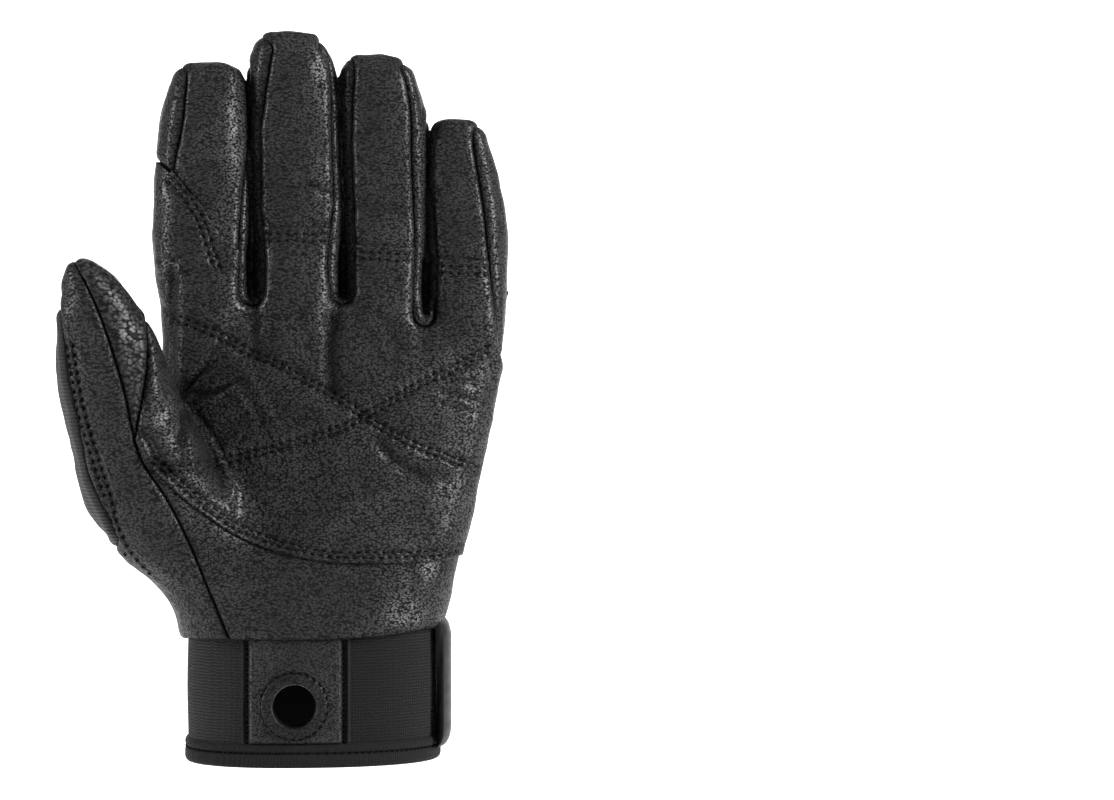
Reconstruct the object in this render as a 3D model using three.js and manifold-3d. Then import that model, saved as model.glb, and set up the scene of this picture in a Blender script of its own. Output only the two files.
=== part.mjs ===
// A left-hand climbing glove: a hollow leather and stretch-fabric hand on a knitted cuff,
// with a carabiner hole at the wrist.
// Millimetres. X runs from the thumb side to the little finger side, the palm faces -Y and
// the fingers point up +Z.
// The origin is the middle of the opening that the hand goes in through.
import * as THREE from "three";
import { mergeVertices } from "three/addons/utils/BufferGeometryUtils.js";
import Module from "manifold-3d";

const wasm = await Module();
wasm.setup();

// Walls and clearances
const SKIN_WALL = 1.5; // palm leather, finger gussets and back fabric
const OVERLAY_WALL = 1.2; // second layer of leather on the palm
const SEAM_GAP = 0.4; // between two panels that are sewn edge to edge
const LAYER_GAP = 0.3; // between two layers that lie on each other

// Cuff
const CUFF_WIDTH = 81;
const CUFF_DEPTH = 54;
const CUFF_HEIGHT = 39.6; // hem to the lower edge of the leather
const CUFF_WALL = 2.4;
const CUFF_ROUNDNESS = 2.3;
const HEM_BINDING_HEIGHT = 3.6;
const HEM_ROLL_HEIGHT = 2.8;
const HEM_PROUD = 1.1; // how far the binding stands out from the knit
const PATCH_WIDTH = 29.4;
const PATCH_CENTRE_X = -6.2;
const PATCH_WALL = 1.3;
const PATCH_TAPE_WIDTH = 2.3;
const PATCH_TAPE_WALL = 0.9;
const HOLE_DIAMETER = 14;
const HOLE_UP = 19; // hem to the centre of the carabiner hole
const RING_WIDTH = 3.6; // of the leather ring round the hole
const RING_WALL = 1.3;
const STRAP_WALL = 2.6;
const STRAP_SIDE_CLEARANCE = 1.8; // between the strap and the knit at the little finger side
const STRAP_BACK_CLEARANCE = 1.8; // and on the back
const STRAP_END = 0.32; // share of CUFF_WIDTH from the middle of the back to the strap's end
const STRAP_FRONT_EDGE = 0.5; // share of CUFF_WIDTH where the strap starts at the front
const STRAP_LOW = 3;
const STRAP_HEIGHT = 42;
const STRAP_CORNER = 6;

// Hand
const PALM_WIDTH = 112;
const PALM_DEPTH = 36;
const PALM_HEIGHT = 113; // lower edge of the leather to the webs between the fingers
const PALM_ROUNDNESS = 2.6;
const FINGER_LENGTH = 88; // middle finger above its web
const FINGER_WIDTH = 28;
const FINGER_DEPTH = 25.5;
const FINGER_ROUNDNESS = 2.5;
const FINGER_CURL = 9; // how far the tips come forward
const FINGER_ROOT = 20; // length of a finger's tube inside the palm
const ROOT_WIDTH = 0.85; // share of a finger's width that is left at the foot of that tube
const FINGER_CAP = 0.52; // share of FINGER_WIDTH that the leather wraps over each fingertip
const BACK_SPLIT = 4; // where the fabric of the back meets the front leather, behind the middle of the cuff
const FINGER_SEAM_UP = 4; // the seam between a finger and the hand, above the webs
const GUSSET_END = 4.5; // from a finger's tip to the end of its side gussets
const OUTER_GUSSET_FOOT = 0.12; // share of PALM_HEIGHT that the outer gussets run down below the webs
const INDEX_SIDE = 0.475; // share of PALM_WIDTH from the middle to past the index finger's outer side
const INDEX_GUSSET_FRONT = 0.66; // share of FINGER_DEPTH that its outer gusset may come forward
const LITTLE_SEAM_FOOT = 0.545; // share of PALM_WIDTH where the little finger's outer seam ends
const THUMB_HEIGHT = 122.5; // lower edge of the leather to the thumb's tip
const THUMB_SPREAD = 75.5; // sideways reach of the thumb's tip
const THUMB_FORWARD = 42; // forward reach of the thumb's tip
const THUMB_WIDTH = 45;
const THUMB_DEPTH = 38;
const THUMB_ROUNDNESS = 2.2;
const THUMB_CAP = 0.87; // share of THUMB_HEIGHT where the fabric ends below the thumb's tip
const THUMB_SPLIT = 0.08; // how far behind the thumb's middle the fabric starts, as a share of its depth
const THUMB_BACK_REACH = 0.6; // share of the thumb's half width that the fabric reaches round its back
const GUSSET_ROLL_DIAMETER = 4; // rolled leather round the foot of each finger gap
const ROLL_REACH = 15; // how far up the gap the roll goes
const OVERLAY_SIDE = 1.5; // the overlay stops this far in front of the hand's side line

const PALM_LOW = CUFF_HEIGHT + LAYER_GAP;
const WEB_UP = PALM_LOW + PALM_HEIGHT;

// Sections of the palm. up is a share of PALM_HEIGHT, cuff is how much of the cuff's own section it keeps,
// left and right are shares of PALM_WIDTH, and front and back are shares of PALM_DEPTH.
const PALM_SECTIONS = [
  { up: 0.0, cuff: 1.0, left: 0.4, right: 0.4, front: 0.7, back: 0.6 },
  { up: 0.1, cuff: 0.5, left: 0.424, right: 0.394, front: 0.69, back: 0.58 },
  { up: 0.18, cuff: 0.15, left: 0.425, right: 0.412, front: 0.67, back: 0.58 },
  { up: 0.35, cuff: 0.0, left: 0.446, right: 0.454, front: 0.61, back: 0.54 },
  { up: 0.52, cuff: 0.0, left: 0.452, right: 0.49, front: 0.54, back: 0.51 },
  { up: 0.68, cuff: 0.0, left: 0.442, right: 0.52, front: 0.5, back: 0.5 },
  { up: 0.84, cuff: 0.0, left: 0.438, right: 0.541, front: 0.47, back: 0.5 },
  { up: 0.94, cuff: 0.0, left: 0.44, right: 0.552, front: 0.43, back: 0.47 },
  { up: 1.0, cuff: 0.0, left: 0.41, right: 0.52, front: 0.34, back: 0.38 },
];

// root and tip are shares of PALM_WIDTH from the middle of the cuff, length is a share of FINGER_LENGTH, width of
// FINGER_WIDTH, bend is the power of the sideways lean, taper is the width that is left at the last joint, and the
// seams are shares of the half width at which the side gussets start.
const FINGERS = [
  { name: "index", root: -0.329, tip: -0.306, length: 0.875, width: 1.0, bend: 3, taper: 0.98, seams: [-0.5, 0.88] },
  { name: "middle", root: -0.062, tip: -0.067, length: 0.98, width: 0.958, bend: 3, taper: 1.0, seams: [-0.74, 0.88] },
  { name: "ring", root: 0.203, tip: 0.178, length: 0.902, width: 0.985, bend: 4, taper: 0.99, seams: [-0.73, 0.7] },
  { name: "little", root: 0.456, tip: 0.405, length: 0.664, width: 0.83, bend: 2.5, taper: 0.92, seams: [-0.88, 0.58] },
];

// Finger sections from the tip down. down is a share of the finger's own width, width and depth are shares of its size.
const FINGERTIP_SECTIONS = [
  { down: 0.0, width: 0.5, depth: 0.42 },
  { down: 0.045, width: 0.66, depth: 0.6 },
  { down: 0.15, width: 0.82, depth: 0.78 },
  { down: 0.34, width: 0.93, depth: 0.91 },
  { down: 0.65, width: 0.98, depth: 0.97 },
];

// Sections of the thumb. along is a share of THUMB_HEIGHT, out of THUMB_SPREAD, forward of THUMB_FORWARD, and width and
// depth are shares of the thumb's size.
const THUMB_SECTIONS = [
  { along: 0.02, out: 0.3, forward: 0.0, width: 0.76, depth: 0.95 },
  { along: 0.07, out: 0.36, forward: 0.02, width: 0.78, depth: 0.97 },
  { along: 0.235, out: 0.57, forward: 0.17, width: 0.94, depth: 1.02 },
  { along: 0.405, out: 0.695, forward: 0.36, width: 1.0, depth: 1.0 },
  { along: 0.565, out: 0.795, forward: 0.54, width: 0.93, depth: 0.92 },
  { along: 0.725, out: 0.875, forward: 0.71, width: 0.78, depth: 0.82 },
  { along: 0.86, out: 0.92, forward: 0.85, width: 0.62, depth: 0.7 },
  { along: 0.94, out: 0.945, forward: 0.935, width: 0.42, depth: 0.52 },
  { along: 0.982, out: 0.962, forward: 0.98, width: 0.26, depth: 0.32 },
  { along: 1.0, out: 0.97, forward: 1.0, width: 0.1, depth: 0.13 },
];

// Seams of the thumb in the front view, from the bottom up: the long one that runs from the wrist to the thumb's tip, the
// edge of the back's fabric, and the inner edge of the pad. out is a share of THUMB_SPREAD and along of THUMB_HEIGHT.
const THENAR_SEAM = [
  { along: 0.002, out: 0.358 },
  { along: 0.124, out: 0.444 },
  { along: 0.251, out: 0.527 },
  { along: 0.38, out: 0.632 },
  { along: 0.457, out: 0.715 },
  { along: 0.547, out: 0.768 },
  { along: 0.643, out: 0.8 },
  { along: 0.734, out: 0.841 },
  { along: 0.85, out: 0.9 },
  { along: 0.94, out: 0.945 },
  { along: 1.0, out: 0.97 },
];
const FABRIC_EDGE = [
  { along: 0.161, out: 0.736 },
  { along: 0.219, out: 0.809 },
  { along: 0.282, out: 0.873 },
  { along: 0.373, out: 0.925 },
  { along: 0.509, out: 0.988 },
  { along: 0.605, out: 1.013 },
  { along: 0.696, out: 1.045 },
  { along: 0.785, out: 1.061 },
  { along: 0.86, out: 1.068 },
];
const PAD_SEAM = [
  { along: 0.52, out: 0.757 },
  { along: 0.592, out: 0.742 },
  { along: 0.669, out: 0.715 },
  { along: 0.747, out: 0.695 },
  { along: 0.83, out: 0.71 },
  { along: 0.93, out: 0.79 },
  { along: 1.0, out: 0.88 },
];

// The palm overlay's edge in the front view: across is a share of PALM_WIDTH, up a share of PALM_HEIGHT above the cuff.
const OVERLAY_EDGE = [
  { across: -0.47, up: 1.385 },
  { across: -0.404, up: 1.38 },
  { across: -0.36, up: 1.322 },
  { across: -0.3, up: 1.235 },
  { across: -0.2, up: 1.16 },
  { across: -0.15, up: 1.217 },
  { across: 0.06, up: 1.217 },
  { across: 0.11, up: 1.165 },
  { across: 0.3, up: 1.16 },
  { across: 0.33, up: 1.127 },
  { across: 0.52, up: 1.122 },
  { across: 0.523, up: 0.93 },
  { across: 0.62, up: 0.83 },
  { across: 0.62, up: 0.24 },
  { across: 0.42, up: 0.243 },
  { across: 0.3, up: 0.224 },
  { across: 0.15, up: 0.221 },
  { across: -0.02, up: 0.235 },
  { across: -0.16, up: 0.272 },
  { across: -0.27, up: 0.325 },
  { across: -0.36, up: 0.395 },
  { across: -0.41, up: 0.46 },
  { across: -0.418, up: 0.56 },
  { across: -0.425, up: 0.7 },
  { across: -0.437, up: 0.85 },
  { across: -0.47, up: 0.93 },
];

const PALM_SIDES = 24;
const FINGER_SIDES = 12;
const THUMB_SIDES = 14;
const CUFF_SIDES = 28;
const ROLL_SIDES = 6;
const HOLE_SIDES = 28;
const EDGE_ROUNDING = 0.25; // share of a hem band's thickness that is taken off its edges
const FAR = 400; // past every face of the glove

const COLOURS = {
  leather: { color: 0x262626, roughness: 0.5, metalness: 0 },
  fabric: { color: 0x1d1d20, roughness: 0.9, metalness: 0 },
  knit: { color: 0x202023, roughness: 0.95, metalness: 0 },
  rubber: { color: 0x0f0f10, roughness: 0.6, metalness: 0 },
};

// three.js geometry to a solid
function solidOf(geometry) {
  const bare = new THREE.BufferGeometry();
  bare.setAttribute("position", geometry.getAttribute("position"));
  if (geometry.index) bare.setIndex(geometry.index);
  const merged = mergeVertices(bare, 1e-4);
  return new wasm.Manifold(
    new wasm.Mesh({
      numProp: 3,
      vertProperties: new Float32Array(merged.attributes.position.array),
      triVerts: new Uint32Array(merged.index.array),
    }),
  );
}

function union(solids) {
  return solids.reduce((whole, solid) => whole.add(solid));
}

// The solid's largest connected piece, because a cut can leave a loose sliver beside it
function largestPiece(solid) {
  return solid.decompose().reduce((best, piece) => (piece.volume() > best.volume() ? piece : best));
}

function meshOf(name, solid, colours) {
  const made = largestPiece(solid).getMesh();
  const geometry = new THREE.BufferGeometry();
  geometry.setAttribute("position", new THREE.BufferAttribute(new Float32Array(made.vertProperties), 3));
  geometry.setIndex(new THREE.BufferAttribute(new Uint32Array(made.triVerts), 1));
  geometry.computeVertexNormals();
  const mesh = new THREE.Mesh(geometry, new THREE.MeshStandardMaterial(colours));
  mesh.name = name;
  return mesh;
}

// A closed body through rings of points, lowest ring first, each ring turning anticlockwise seen from the last ring
function loft(rings) {
  const sides = rings[0].length;
  const positions = [];
  const triangle = (a, b, c) => positions.push(a.x, a.y, a.z, b.x, b.y, b.z, c.x, c.y, c.z);
  rings.slice(1).forEach((upper, row) => {
    const lower = rings[row];
    for (let i = 0; i < sides; i++) {
      const next = (i + 1) % sides;
      triangle(lower[i], lower[next], upper[next]);
      triangle(lower[i], upper[next], upper[i]);
    }
  });
  const centreOf = (ring) => ring.reduce((sum, p) => sum.add(p), new THREE.Vector3()).divideScalar(sides);
  const [bottom, top] = [rings[0], rings[rings.length - 1]];
  const [bottomCentre, topCentre] = [centreOf(bottom), centreOf(top)];
  for (let i = 0; i < sides; i++) {
    const next = (i + 1) % sides;
    triangle(bottomCentre, bottom[next], bottom[i]);
    triangle(topCentre, top[i], top[next]);
  }
  const geometry = new THREE.BufferGeometry();
  geometry.setAttribute("position", new THREE.BufferAttribute(new Float32Array(positions), 3));
  return solidOf(geometry);
}

// Points of a rounded section about a centre, in the plane across the direction that it is lofted along
function sectionRing({ centre, left, right, front, back, roundness, direction, sides }) {
  const across = new THREE.Vector3(1, 0, 0).addScaledVector(direction, -direction.x).normalize();
  const deep = new THREE.Vector3().crossVectors(direction, across);
  const power = 2 / roundness;
  return Array.from({ length: sides }, (_, i) => {
    const angle = (2 * Math.PI * i) / sides;
    const u = Math.sign(Math.cos(angle)) * Math.abs(Math.cos(angle)) ** power;
    const v = Math.sign(Math.sin(angle)) * Math.abs(Math.sin(angle)) ** power;
    return centre
      .clone()
      .addScaledVector(across, u * (u > 0 ? right : left))
      .addScaledVector(deep, v * (v > 0 ? back : front));
  });
}

const blend = (a, b, share) => a + (b - a) * share;
const box = (left, right, low, high) => [[left, low], [right, low], [right, high], [left, high]];

// The palm, grown outwards by an amount, or shrunk if it is negative. An open foot runs on below the leather.
function palmBody(grow, footLength) {
  const direction = new THREE.Vector3(0, 0, 1);
  const rings = PALM_SECTIONS.map((row, i) => {
    const last = i === PALM_SECTIONS.length - 1;
    return sectionRing({
      centre: new THREE.Vector3(0, 0, PALM_LOW + row.up * PALM_HEIGHT + (last ? grow : 0)),
      left: blend(row.left * PALM_WIDTH, CUFF_WIDTH / 2, row.cuff) + grow,
      right: blend(row.right * PALM_WIDTH, CUFF_WIDTH / 2, row.cuff) + grow,
      front: blend(row.front * PALM_DEPTH, CUFF_DEPTH / 2, row.cuff) + grow,
      back: blend(row.back * PALM_DEPTH, CUFF_DEPTH / 2, row.cuff) + grow,
      roundness: blend(PALM_ROUNDNESS, CUFF_ROUNDNESS, row.cuff),
      direction,
      sides: PALM_SIDES,
    });
  });
  const foot = rings[0].map((p) => p.clone().setZ(PALM_LOW - footLength));
  return loft(footLength > 0 ? [foot, ...rings] : rings);
}

// Where a finger's middle line is, at a share of its length from the web to the tip
function fingerCentre(finger, share) {
  const along = Math.max(share, 0);
  return new THREE.Vector3(
    PALM_WIDTH * blend(finger.root, finger.tip, along ** finger.bend),
    -FINGER_CURL * along ** 2,
    WEB_UP + share * finger.length * FINGER_LENGTH,
  );
}

function fingerSections(finger) {
  const length = finger.length * FINGER_LENGTH;
  const width = finger.width * FINGER_WIDTH;
  const tip = FINGERTIP_SECTIONS.map((row) => ({
    share: 1 - (row.down * width) / length,
    width: row.width * finger.taper,
    depth: row.depth * finger.taper,
  }));
  const shaft = [0.55, 0.28, 0].map((share) => ({ share, width: blend(1, finger.taper, share), depth: 1 }));
  const root = { share: -FINGER_ROOT / length, width: ROOT_WIDTH, depth: 1 };
  return [root, ...shaft.reverse(), ...tip.reverse()];
}

function fingerHalfWidth(finger, share) {
  const rows = fingerSections(finger);
  const above = rows.findIndex((row) => row.share >= share);
  if (above < 1) return (rows[above < 0 ? rows.length - 1 : 0].width * finger.width * FINGER_WIDTH) / 2;
  const [low, high] = [rows[above - 1], rows[above]];
  const width = blend(low.width, high.width, (share - low.share) / (high.share - low.share));
  return (width * finger.width * FINGER_WIDTH) / 2;
}

function fingerBody(finger, grow) {
  const rows = fingerSections(finger);
  return loft(
    rows.map((row, i) => {
      const direction = fingerCentre(finger, row.share + 0.02).sub(fingerCentre(finger, row.share - 0.02)).normalize();
      const centre = fingerCentre(finger, row.share);
      if (i === rows.length - 1) centre.addScaledVector(direction, grow);
      const halfWidth = Math.max((row.width * finger.width * FINGER_WIDTH) / 2 + grow, 1);
      const halfDepth = Math.max((row.depth * FINGER_DEPTH) / 2 + grow, 1);
      return sectionRing({
        centre,
        left: halfWidth,
        right: halfWidth,
        front: halfDepth,
        back: halfDepth,
        roundness: FINGER_ROUNDNESS,
        direction,
        sides: FINGER_SIDES,
      });
    }),
  );
}

function thumbCentre(row) {
  return new THREE.Vector3(
    -row.out * THUMB_SPREAD,
    -row.forward * THUMB_FORWARD,
    PALM_LOW + row.along * THUMB_HEIGHT,
  );
}

function thumbBody(grow) {
  return loft(
    THUMB_SECTIONS.map((row, i) => {
      const below = THUMB_SECTIONS[Math.max(i - 1, 0)];
      const above = THUMB_SECTIONS[Math.min(i + 1, THUMB_SECTIONS.length - 1)];
      const direction = thumbCentre(above).sub(thumbCentre(below)).normalize();
      const centre = thumbCentre(row);
      if (i === THUMB_SECTIONS.length - 1) centre.addScaledVector(direction, grow);
      const halfWidth = Math.max((row.width * THUMB_WIDTH) / 2 + grow, 0.5);
      const halfDepth = Math.max((row.depth * THUMB_DEPTH) / 2 + grow, 0.5);
      return sectionRing({
        centre,
        left: halfWidth,
        right: halfWidth,
        front: halfDepth,
        back: halfDepth,
        roundness: THUMB_ROUNDNESS,
        direction,
        sides: THUMB_SIDES,
      });
    }),
  );
}

// The whole hand. Without a foot it ends at the lower edge of the leather.
function handBody(grow, footLength = 0) {
  const fingers = FINGERS.map((finger) => fingerBody(finger, grow));
  const whole = union([palmBody(grow, footLength), thumbBody(grow), ...fingers]);
  return footLength > 0 ? whole : whole.intersect(frontPrism(box(-FAR, FAR, PALM_LOW, FAR)));
}

// A prism along Y with an outline of [x, z] points in the front view
function frontPrism(outline, from = -FAR, to = FAR) {
  const shape = new THREE.Shape(outline.map(([x, z]) => new THREE.Vector2(x, z)));
  const geometry = new THREE.ExtrudeGeometry(shape, { depth: to - from, bevelEnabled: false });
  geometry.rotateX(Math.PI / 2);
  geometry.translate(0, to, 0);
  return solidOf(geometry);
}

// A prism along X with an outline of [y, z] points in the side view
function sidePrism(outline) {
  const shape = new THREE.Shape(outline.map(([y, z]) => new THREE.Vector2(y, z)));
  const geometry = new THREE.ExtrudeGeometry(shape, { depth: 2 * FAR, bevelEnabled: false });
  const axes = new THREE.Matrix4().makeBasis(
    new THREE.Vector3(0, 1, 0),
    new THREE.Vector3(0, 0, 1),
    new THREE.Vector3(1, 0, 0),
  );
  geometry.applyMatrix4(axes);
  geometry.translate(-FAR, 0, 0);
  return solidOf(geometry);
}

// Rows of a seam on the thumb as [x, z] points, moved towards the little finger by an amount
function thumbSeam(rows, moved) {
  return rows.map((row) => [-row.out * THUMB_SPREAD + moved, PALM_LOW + row.along * THUMB_HEIGHT]);
}

const fingertipHeight = (finger) => WEB_UP + finger.length * FINGER_LENGTH;

// The x halfway between two neighbouring fingers at their webs
function gapMiddle(left, right) {
  const leftSide = fingerCentre(left, 0).x + fingerHalfWidth(left, 0);
  const rightSide = fingerCentre(right, 0).x - fingerHalfWidth(right, 0);
  return (leftSide + rightSide) / 2;
}

// A finger's front seam as [x, z] points from the web to just under the fingertip, moved sideways by an amount
function fingerSeam(finger, side, moved) {
  const length = finger.length * FINGER_LENGTH;
  const top = 1 - GUSSET_END / length;
  const shares = [0, 0.2, 0.4, 0.6, 0.75, 0.85, 0.93, 1].map((share) => share * top);
  return shares.map((share) => {
    const x = fingerCentre(finger, share).x + finger.seams[side] * fingerHalfWidth(finger, share);
    return [x + moved, WEB_UP + share * length];
  });
}

// Front outline of the gusset between two neighbouring fingers
function gussetOutline(left, right, foot, moved) {
  const footUp = WEB_UP - foot * PALM_HEIGHT - moved;
  const leftX = fingerSeam(left, 1, -moved)[0][0];
  const rightX = fingerSeam(right, 0, moved)[0][0];
  const inset = (rightX - leftX) / 4;
  const aboveFoot = (point) => point[1] > footUp + inset * 1.5;
  const leftSeam = fingerSeam(left, 1, -moved).filter(aboveFoot);
  const rightSeam = fingerSeam(right, 0, moved).filter(aboveFoot);
  const middle = gapMiddle(left, right);
  return [
    [leftX + inset, footUp],
    [rightX - inset, footUp],
    [rightX, footUp + inset],
    ...rightSeam,
    [middle, rightSeam[rightSeam.length - 1][1]],
    [middle, leftSeam[leftSeam.length - 1][1]],
    ...leftSeam.reverse(),
    [leftX, footUp + inset],
  ];
}

// Rolled edge round the foot of a gusset, as a tube along a U
function gussetRoll(left, right, foot, grow) {
  const inset = GUSSET_ROLL_DIAMETER / 2;
  const leftX = fingerSeam(left, 1, inset)[0][0];
  const rightX = fingerSeam(right, 0, -inset)[0][0];
  const low = WEB_UP - foot * PALM_HEIGHT + inset;
  const high = low + ROLL_REACH;
  const y = -FINGER_DEPTH / 2 + inset / 2;
  const path = new THREE.CatmullRomCurve3(
    [
      new THREE.Vector3(leftX, y + inset, high),
      new THREE.Vector3(leftX, y, low + inset * 2),
      new THREE.Vector3((leftX + rightX) / 2, y - inset / 2, low),
      new THREE.Vector3(rightX, y, low + inset * 2),
      new THREE.Vector3(rightX, y + inset, high),
    ],
  );
  const steps = 8;
  const frames = path.computeFrenetFrames(steps, false);
  const rings = Array.from({ length: steps + 1 }, (_, i) => {
    const centre = path.getPointAt(i / steps);
    return Array.from({ length: ROLL_SIDES }, (__, k) => {
      const angle = (2 * Math.PI * k) / ROLL_SIDES;
      return centre
        .clone()
        .addScaledVector(frames.normals[i], (inset + grow) * Math.cos(angle))
        .addScaledVector(frames.binormals[i], (inset + grow) * Math.sin(angle));
    });
  });
  return loft(rings);
}

// Where the fabric of the back starts, as [y, z] points of a split line from the wrist to past the fingertips
function backSplit(moved) {
  const rows = [0, 0.25, 0.5, 0.75, 1, 1.2];
  const tips = rows.map((share) => [BACK_SPLIT - FINGER_CURL * share ** 2 - moved, WEB_UP + share * FINGER_LENGTH]);
  return [[BACK_SPLIT - moved, -FAR], ...tips, [FAR, FAR], [FAR, -FAR]];
}

function backZone(moved) {
  const tops = FINGERS.map((finger) => fingertipHeight(finger) - FINGER_CAP * FINGER_WIDTH + moved);
  const middles = [0, 1, 2].map((i) => gapMiddle(FINGERS[i], FINGERS[i + 1]));
  const steps = middles.flatMap((x, i) => [
    [x, tops[i]],
    [x, tops[i + 1]],
  ]);
  const belowTips = [[-FAR, tops[0]], ...steps, [FAR, tops[3]], [FAR, -FAR], [-FAR, -FAR]].reverse();
  return sidePrism(backSplit(moved)).intersect(frontPrism(belowTips));
}

// Fabric round the thumb's outer side and its back
function thumbBackZone(moved) {
  const edge = thumbSeam(FABRIC_EDGE, moved);
  const [edgeLow, edgeHigh] = [edge[0][1] - moved, edge[edge.length - 1][1] + moved];
  const outerSide = frontPrism([[-FAR, edgeLow], [edge[0][0], edgeLow], ...edge, [-FAR, edgeHigh]]);

  const rows = THUMB_SECTIONS.filter((row) => row.along > FABRIC_EDGE[0].along && row.along < THUMB_CAP);
  const behind = rows.map((row) => {
    const centre = thumbCentre(row);
    return [centre.y + THUMB_SPLIT * row.depth * THUMB_DEPTH - moved, centre.z];
  });
  const inner = rows.map((row) => {
    const centre = thumbCentre(row);
    return [centre.x + (THUMB_BACK_REACH * row.width * THUMB_WIDTH) / 2 + moved, centre.z];
  });
  const capUp = PALM_LOW + THUMB_CAP * THUMB_HEIGHT + moved;
  const [behindLow, behindHigh] = [behind[0], behind[behind.length - 1]];
  const [innerLow, innerHigh] = [inner[0], inner[inner.length - 1]];
  const behindThumb = sidePrism([[behindLow[0], -FAR], ...behind, [behindHigh[0], FAR], [FAR, FAR], [FAR, -FAR]]);
  const thumbBack = behindThumb.intersect(
    frontPrism([[-FAR, edgeLow], [innerLow[0], edgeLow], ...inner, [innerHigh[0], capUp], [-FAR, capUp]]),
  );
  return outerSide.add(thumbBack);
}

// One finger above the seam that joins it to the hand
function fingerZone(i, moved) {
  const left = i === 0 ? -INDEX_SIDE * PALM_WIDTH : gapMiddle(FINGERS[i - 1], FINGERS[i]);
  const right = i === FINGERS.length - 1 ? FAR : gapMiddle(FINGERS[i], FINGERS[i + 1]);
  return frontPrism(box(left, right, WEB_UP + FINGER_SEAM_UP - moved, FAR));
}

function thenarZone(moved) {
  const seam = thumbSeam(THENAR_SEAM, moved);
  return frontPrism([[-FAR, -FAR], [seam[0][0], -FAR], ...seam, [seam[seam.length - 1][0], FAR], [-FAR, FAR]]);
}

function thumbPadZone(moved) {
  const seam = thumbSeam(PAD_SEAM, moved);
  const low = seam[0][1] - moved;
  const high = seam[seam.length - 1];
  return frontPrism([[-FAR, low], [seam[0][0], low], ...seam, [high[0], FAR], [-FAR, FAR]]);
}

// Kept behind the thumb, which crosses the same part of the front view
function indexOuterZone(moved) {
  const seam = fingerSeam(FINGERS[0], 0, moved);
  const low = WEB_UP - OUTER_GUSSET_FOOT * PALM_HEIGHT - moved;
  const left = -INDEX_SIDE * PALM_WIDTH - moved;
  const high = seam[seam.length - 1][1];
  const outline = [[left, low], [seam[0][0], low], ...seam, [left, high]];
  return frontPrism(outline, -INDEX_GUSSET_FRONT * FINGER_DEPTH - moved, FAR);
}

function littleOuterZone(moved) {
  const seam = fingerSeam(FINGERS[3], 1, -moved);
  const low = WEB_UP - OUTER_GUSSET_FOOT * PALM_HEIGHT - moved;
  const foot = [PALM_WIDTH * LITTLE_SEAM_FOOT - moved, low];
  return frontPrism([foot, [FAR, low], [FAR, seam[seam.length - 1][1]], ...seam.reverse()]);
}

// Hand: one skin, cut into the panels that are sewn together
const gussets = [
  { name: "index_middle_gusset", pair: [FINGERS[0], FINGERS[1]], foot: 0.012 },
  { name: "middle_ring_gusset", pair: [FINGERS[1], FINGERS[2]], foot: 0.009 },
  { name: "ring_little_gusset", pair: [FINGERS[2], FINGERS[3]], foot: 0.07 },
].map((row) => ({
  ...row,
  zone: (moved) => frontPrism(gussetOutline(...row.pair, row.foot, moved)),
  roll: (grow) => gussetRoll(...row.pair, row.foot, grow),
}));

const hollow = handBody(-SKIN_WALL, PALM_LOW);
let rest = handBody(0).subtract(hollow);
const panels = {};
function cutPanel(name, zone) {
  panels[name] = rest.intersect(zone(0));
  rest = rest.subtract(zone(SEAM_GAP));
}
function cutFingers(name, kind) {
  FINGERS.forEach((finger, i) => {
    panels[`${finger.name}_${kind}`] = panels[name].intersect(fingerZone(i, 0));
    panels[name] = panels[name].subtract(fingerZone(i, SEAM_GAP));
  });
}
cutPanel("back_panel", backZone);
cutFingers("back_panel", "back");
cutPanel("thumb_back", thumbBackZone);
gussets.forEach((gusset) => {
  const strip = rest.intersect(gusset.zone(0));
  panels[gusset.name] = strip.add(gusset.roll(0).subtract(hollow).intersect(frontPrism(box(-FAR, FAR, -FAR, FAR), -FAR, 0)));
  rest = rest.subtract(gusset.zone(SEAM_GAP)).subtract(gusset.roll(SEAM_GAP));
});
cutPanel("index_outer_gusset", indexOuterZone);
cutPanel("little_outer_gusset", littleOuterZone);
cutPanel("thenar_panel", thenarZone);
cutPanel("thumb_pad", thumbPadZone);
panels.palm_leather = rest;
cutFingers("palm_leather", "front");

const overlayOutline = OVERLAY_EDGE.map((row) => [row.across * PALM_WIDTH, PALM_LOW + row.up * PALM_HEIGHT]);
const overlayLayer = handBody(LAYER_GAP + OVERLAY_WALL).subtract(handBody(LAYER_GAP));
panels.palm_overlay = [
  ...gussets.flatMap((gusset) => [gusset.zone(SEAM_GAP), gusset.roll(SEAM_GAP)]),
  littleOuterZone(SEAM_GAP),
].reduce(
  (layer, cutter) => layer.subtract(cutter),
  overlayLayer.intersect(frontPrism(overlayOutline, -FAR, -OVERLAY_SIDE)),
);

// Cuff
function cuffRing(z, growX, growY = growX) {
  return sectionRing({
    centre: new THREE.Vector3(0, 0, z),
    left: CUFF_WIDTH / 2 + growX,
    right: CUFF_WIDTH / 2 + growX,
    front: CUFF_DEPTH / 2 + growY,
    back: CUFF_DEPTH / 2 + growY,
    roundness: CUFF_ROUNDNESS,
    direction: new THREE.Vector3(0, 0, 1),
    sides: CUFF_SIDES,
  });
}

function cuffBody(grow, low = -FAR, high = FAR, growY = grow) {
  return loft([cuffRing(low, grow, growY), cuffRing(high, grow, growY)]);
}

// A band round the cuff with rounded outer edges
function edgeBand(low, high, inner, outer) {
  const round = (outer - inner) * EDGE_ROUNDING;
  const outside = loft([
    cuffRing(low, outer - round),
    cuffRing(low + round, outer),
    cuffRing(high - round, outer),
    cuffRing(high, outer - round),
  ]);
  return outside.subtract(cuffBody(inner));
}

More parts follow.
